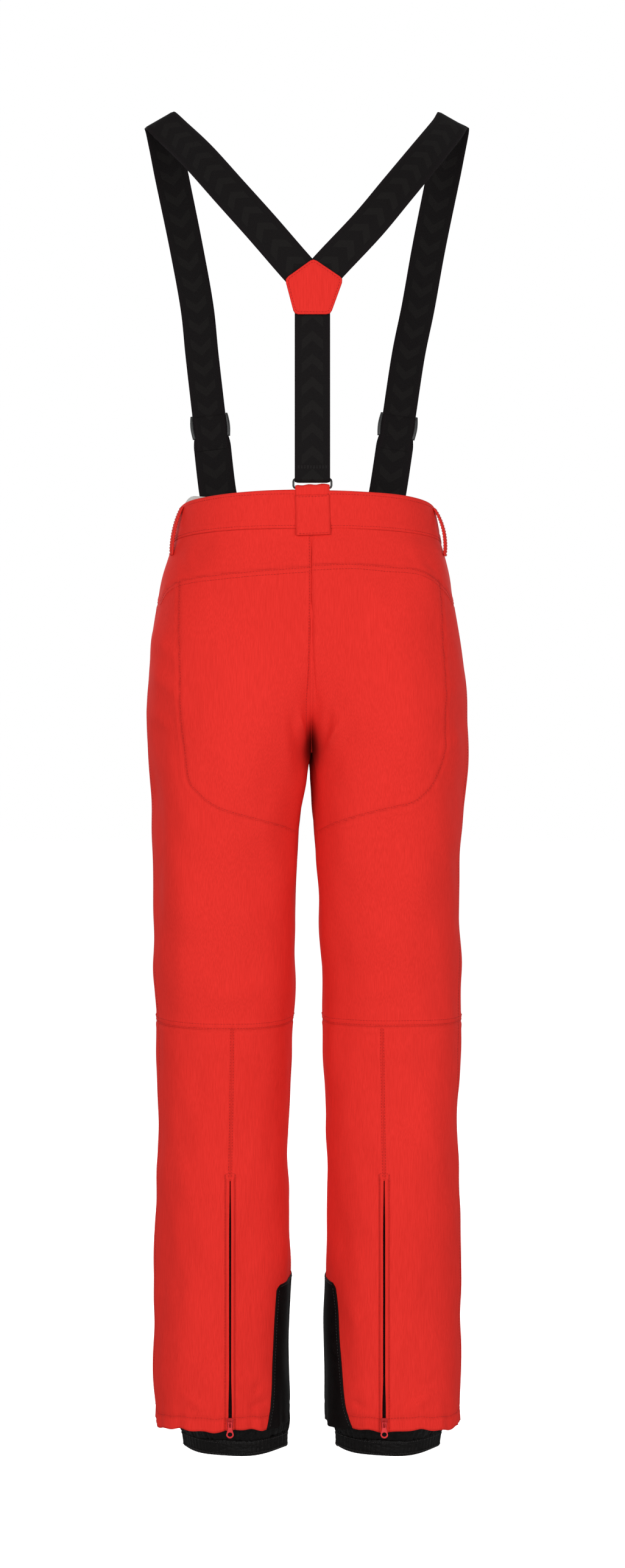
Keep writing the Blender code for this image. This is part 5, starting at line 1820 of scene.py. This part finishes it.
def make_pocket_bag(name, side):
    """The light bag behind the front hip panel, a little uneven."""
    z = np.linspace(-0.070, -0.235, 42)[:, None]
    angles = np.linspace(-70.0, -12.0, 40)[None]
    depth = -0.0054 + 0.0006 * np.sin(angles / 4.0 + z * 60) - 0.0003 * np.sin(angles / 1.7 - z * 110)
    grid = bare_points(side, angles, z) + normals_at(side, angles, z) * depth[..., None]
    mesh = mesh_from("pocket_bag_cloth_" + name, grid.reshape(-1, 3), grid_faces(42, 40))
    bag = new_object("pocket_bag_cloth_" + name, mesh, "lining")
    thicken(bag, 0.0012, offset=0.0)
    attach(bag, "root")
    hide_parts("pocket_bag_" + name)


# Hems ---------------------------------------------------------------------------------------------
GUARD_TOP_Z = -0.9150
# How far the edge guard reaches from the centre line, at its top and at the hem
GUARD_REACH = {1: (0.0345, 0.0420), -1: (0.0300, 0.0485)}


def guard_edge(z, side):
    """How far the edge guard reaches from the centre line at a height."""
    top, hem = GUARD_REACH[side]
    t = np.clip((z - GUARD_TOP_Z) / (HEM_Z - GUARD_TOP_Z), 0, 1)
    flare = np.clip((HEM_Z + 0.030 - z) / 0.030, 0, 1)
    return top + (hem - top) * t + 0.0035 * flare**2


def make_edge_guard(name, side):
    """Abrasion-proof cloth over the inner edge of the hem, from the back round to the front."""
    rows, columns = 66, 60
    share = np.linspace(0, 1, columns)
    corner = np.clip(np.minimum(share, 1 - share) / 0.05, 0, 1)
    top = GUARD_TOP_Z - 0.0035 + 0.0050 * corner**0.7
    z = top[None] + (HEM_Z - 0.0006 - top[None]) * np.linspace(0, 1, rows)[:, None]
    start = angle_at(z, guard_edge(z, side))
    stop = 2 * FULL_ANGLE - start
    angle = start + (stop - start) * share[None]
    points = cloth(side, angle, z, 0.0003)
    faces = grid_faces(rows, columns)
    mesh = mesh_from(name + "_edge_guard_cloth", points.reshape(-1, 3), faces if side > 0 else faces[:, ::-1])
    guard = new_object(name + "_edge_guard_cloth", mesh, "guard")
    thicken(guard, 0.0010, offset=1.0)
    body = name + "_lower_leg"
    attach(guard, body)
    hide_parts(name + "_edge_guard")
    threads = Gather()
    z = np.linspace(GUARD_TOP_Z - 0.0040, HEM_Z + 0.002, 90)
    back = np.stack([angle_at(z, guard_edge(z, side) - 0.0022), z], axis=1)
    front = np.stack([2 * FULL_ANGLE - back[:, 0], z], axis=1)
    edge = np.stack([angle[0], top - 0.0024], axis=1)[3:-3]
    for run in (back, front, edge):
        threads.stitches(*lay(side, run, 0.0013))
    piece = threads.make(name + "_edge_guard_stitching", "black_thread")
    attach(piece, body)


# The gaiter's plain ovals: z, the middle's x, half the width and half the depth
GAITER_LEVELS = np.array(((-0.945, 0.0995, 0.0680, 0.0668), (-1.060, 0.0960, 0.0672, 0.0682),
                          (-1.092, 0.0935, 0.0655, 0.0662), (-1.108, 0.0912, 0.0622, 0.0628),
                          (-1.126, 0.0900, 0.0606, 0.0612)))
GAITER_LIFT = 0.0100       # the elastic draws the lower edge up
GAITER_SHIFT = -0.005      # both gaiters hang a little to one side, as worn


def gaiter_points(side, turn, z, out):
    """Points of the snow gaiter at turns round it, out metres off its plain oval."""
    levels = GAITER_LEVELS[::-1]
    centre, half_x, half_y = [np.interp(z, levels[:, 0], levels[:, k]) for k in (1, 2, 3)]
    low = smoothstep((-1.000 - z) / 0.100)
    low = low * (1 - smoothstep(-1.5 * np.sin(turn)))
    x = side * (centre + (half_x + out) * np.cos(turn)) + GAITER_SHIFT * low
    y = (half_y + out) * np.sign(np.sin(turn)) * np.abs(np.sin(turn))**(1 + 0.7 * low) * (1 - 0.13 * low)
    rise = low * (GAITER_LIFT + 0.006 * np.sin(turn)**2)
    return np.stack(np.broadcast_arrays(x, y, z + rise), axis=-1)


GAITER_TURN = np.arange(420) * 2 * math.pi / 420
GATHER_DEPTH = 0.0011


def make_gaiter(name, side):
    """Thin nylon that billows below the hem."""
    body = name + "_lower_leg"
    turn = GAITER_TURN[None]
    z = np.concatenate([np.linspace(-0.945, -1.040, 16), np.linspace(-1.044, -1.1078, 44)])[:, None]
    drop = np.clip((-1.040 - z) / 0.068, 0, 1)
    wander = 1.6 * np.sin(3 * turn + 20 * z) + 0.8 * np.sin(7 * turn - 55 * z + side)
    creases = 0.55 * np.abs(np.sin(23 * turn + wander)) + 0.45 * np.abs(np.sin(37 * turn - 1.4 * wander + 1))
    fine = np.sin(61 * turn + 2 * wander) * drop**2
    billow = 0.0042 * np.sin(math.pi * drop)**0.8
    out = drop * (billow + 0.0019 * (creases - 0.6)) + 0.00035 * fine
    points = gaiter_points(side, turn, z, out)
    points[..., 2] += 0.0012 * drop * np.sin(5 * turn + side) + 0.0005 * drop * np.sin(19 * turn)
    faces = grid_faces(*points.shape[:2], closed=True)
    mesh = mesh_from(name + "_gaiter_nylon", points.reshape(-1, 3), faces if side > 0 else faces[:, ::-1])
    gaiter = new_object(name + "_gaiter_nylon", mesh, "gaiter")
    thicken(gaiter, 0.0006)
    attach(gaiter, body)
    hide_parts(name + "_gaiter")


# The elastic casing's section: z, how far off the plain oval, and its share of the gathers
CASING_PROFILE = (
    (-1.1066, -0.0016, 0.2), (-1.1072, -0.0004, 0.5), (-1.1086, 0.0006, 1.0), (-1.1105, 0.0008, 1.1),
    (-1.1130, 0.0005, 0.9), (-1.1160, 0.0006, 1.0), (-1.1190, 0.0005, 0.9), (-1.1218, 0.0007, 1.1),
    (-1.1240, 0.0006, 1.0), (-1.1254, 0.0000, 0.7), (-1.1260, -0.0010, 0.4), (-1.1252, -0.0021, 0.3),
    (-1.1160, -0.0026, 0.4), (-1.1070, -0.0024, 0.3),
)


def make_gaiter_casing(name, side):
    """The gaiter's elastic casing, drawn into fine gathers, with two rows of stitches."""
    body, turn = name + "_lower_leg", GAITER_TURN
    gathers = 0.6 * np.abs(np.sin(39 * turn + 0.8 * np.sin(5 * turn))) + 0.4 * np.abs(np.sin(67 * turn + 2))
    gathers = GATHER_DEPTH * (gathers - 0.6)
    rows = [gaiter_points(side, turn, height, out + gathers * share) for height, out, share in CASING_PROFILE]
    rows = np.array(rows)
    rows[..., 2] += 0.0006 * np.sin(5 * turn + side)
    rows = np.concatenate([rows, rows[:1]])
    mesh = mesh_from(name + "_gaiter_casing", rows.reshape(-1, 3), grid_faces(*rows.shape[:2], closed=True))
    recalculate(mesh)
    casing = new_object(name + "_gaiter_casing", mesh, "gaiter")
    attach(casing, body)
    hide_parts(name + "_gaiter_elastic")
    threads = Gather()
    for height in (-1.1096, -1.1228):
        path = gaiter_points(side, turn, height, 0.0012 + gathers)
        centre = np.array([side * 0.0905, 0.0, height])
        threads.stitches(path, unit(path - centre), pitch=0.0030, length=0.0022)
    piece = threads.make(name + "_gaiter_stitching", "black_thread")
    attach(piece, body)


def make_lower():
    """Fly, leg zips, pockets, edge guards and gaiters."""
    make_fly_zip()
    make_fly_shield()
    make_fly_stitching()
    for name, side in SIDES:
        make_leg_zip(name, side)
        make_hand_pocket(name, side)
        make_pocket_bag(name, side)
        make_edge_guard(name, side)
        make_gaiter(name, side)
        make_gaiter_casing(name, side)


def dress_kept_parts():
    """The CAD parts whose shape is right get the finished materials."""
    for node, look in (("rear_ring", "plastic"), ("left_boot_hook", "steel"), ("right_boot_hook", "steel")):
        for slot in frame["nodes"][node].material_slots:
            slot.material = LOOKS[look]


make_lower()
dress_kept_parts()
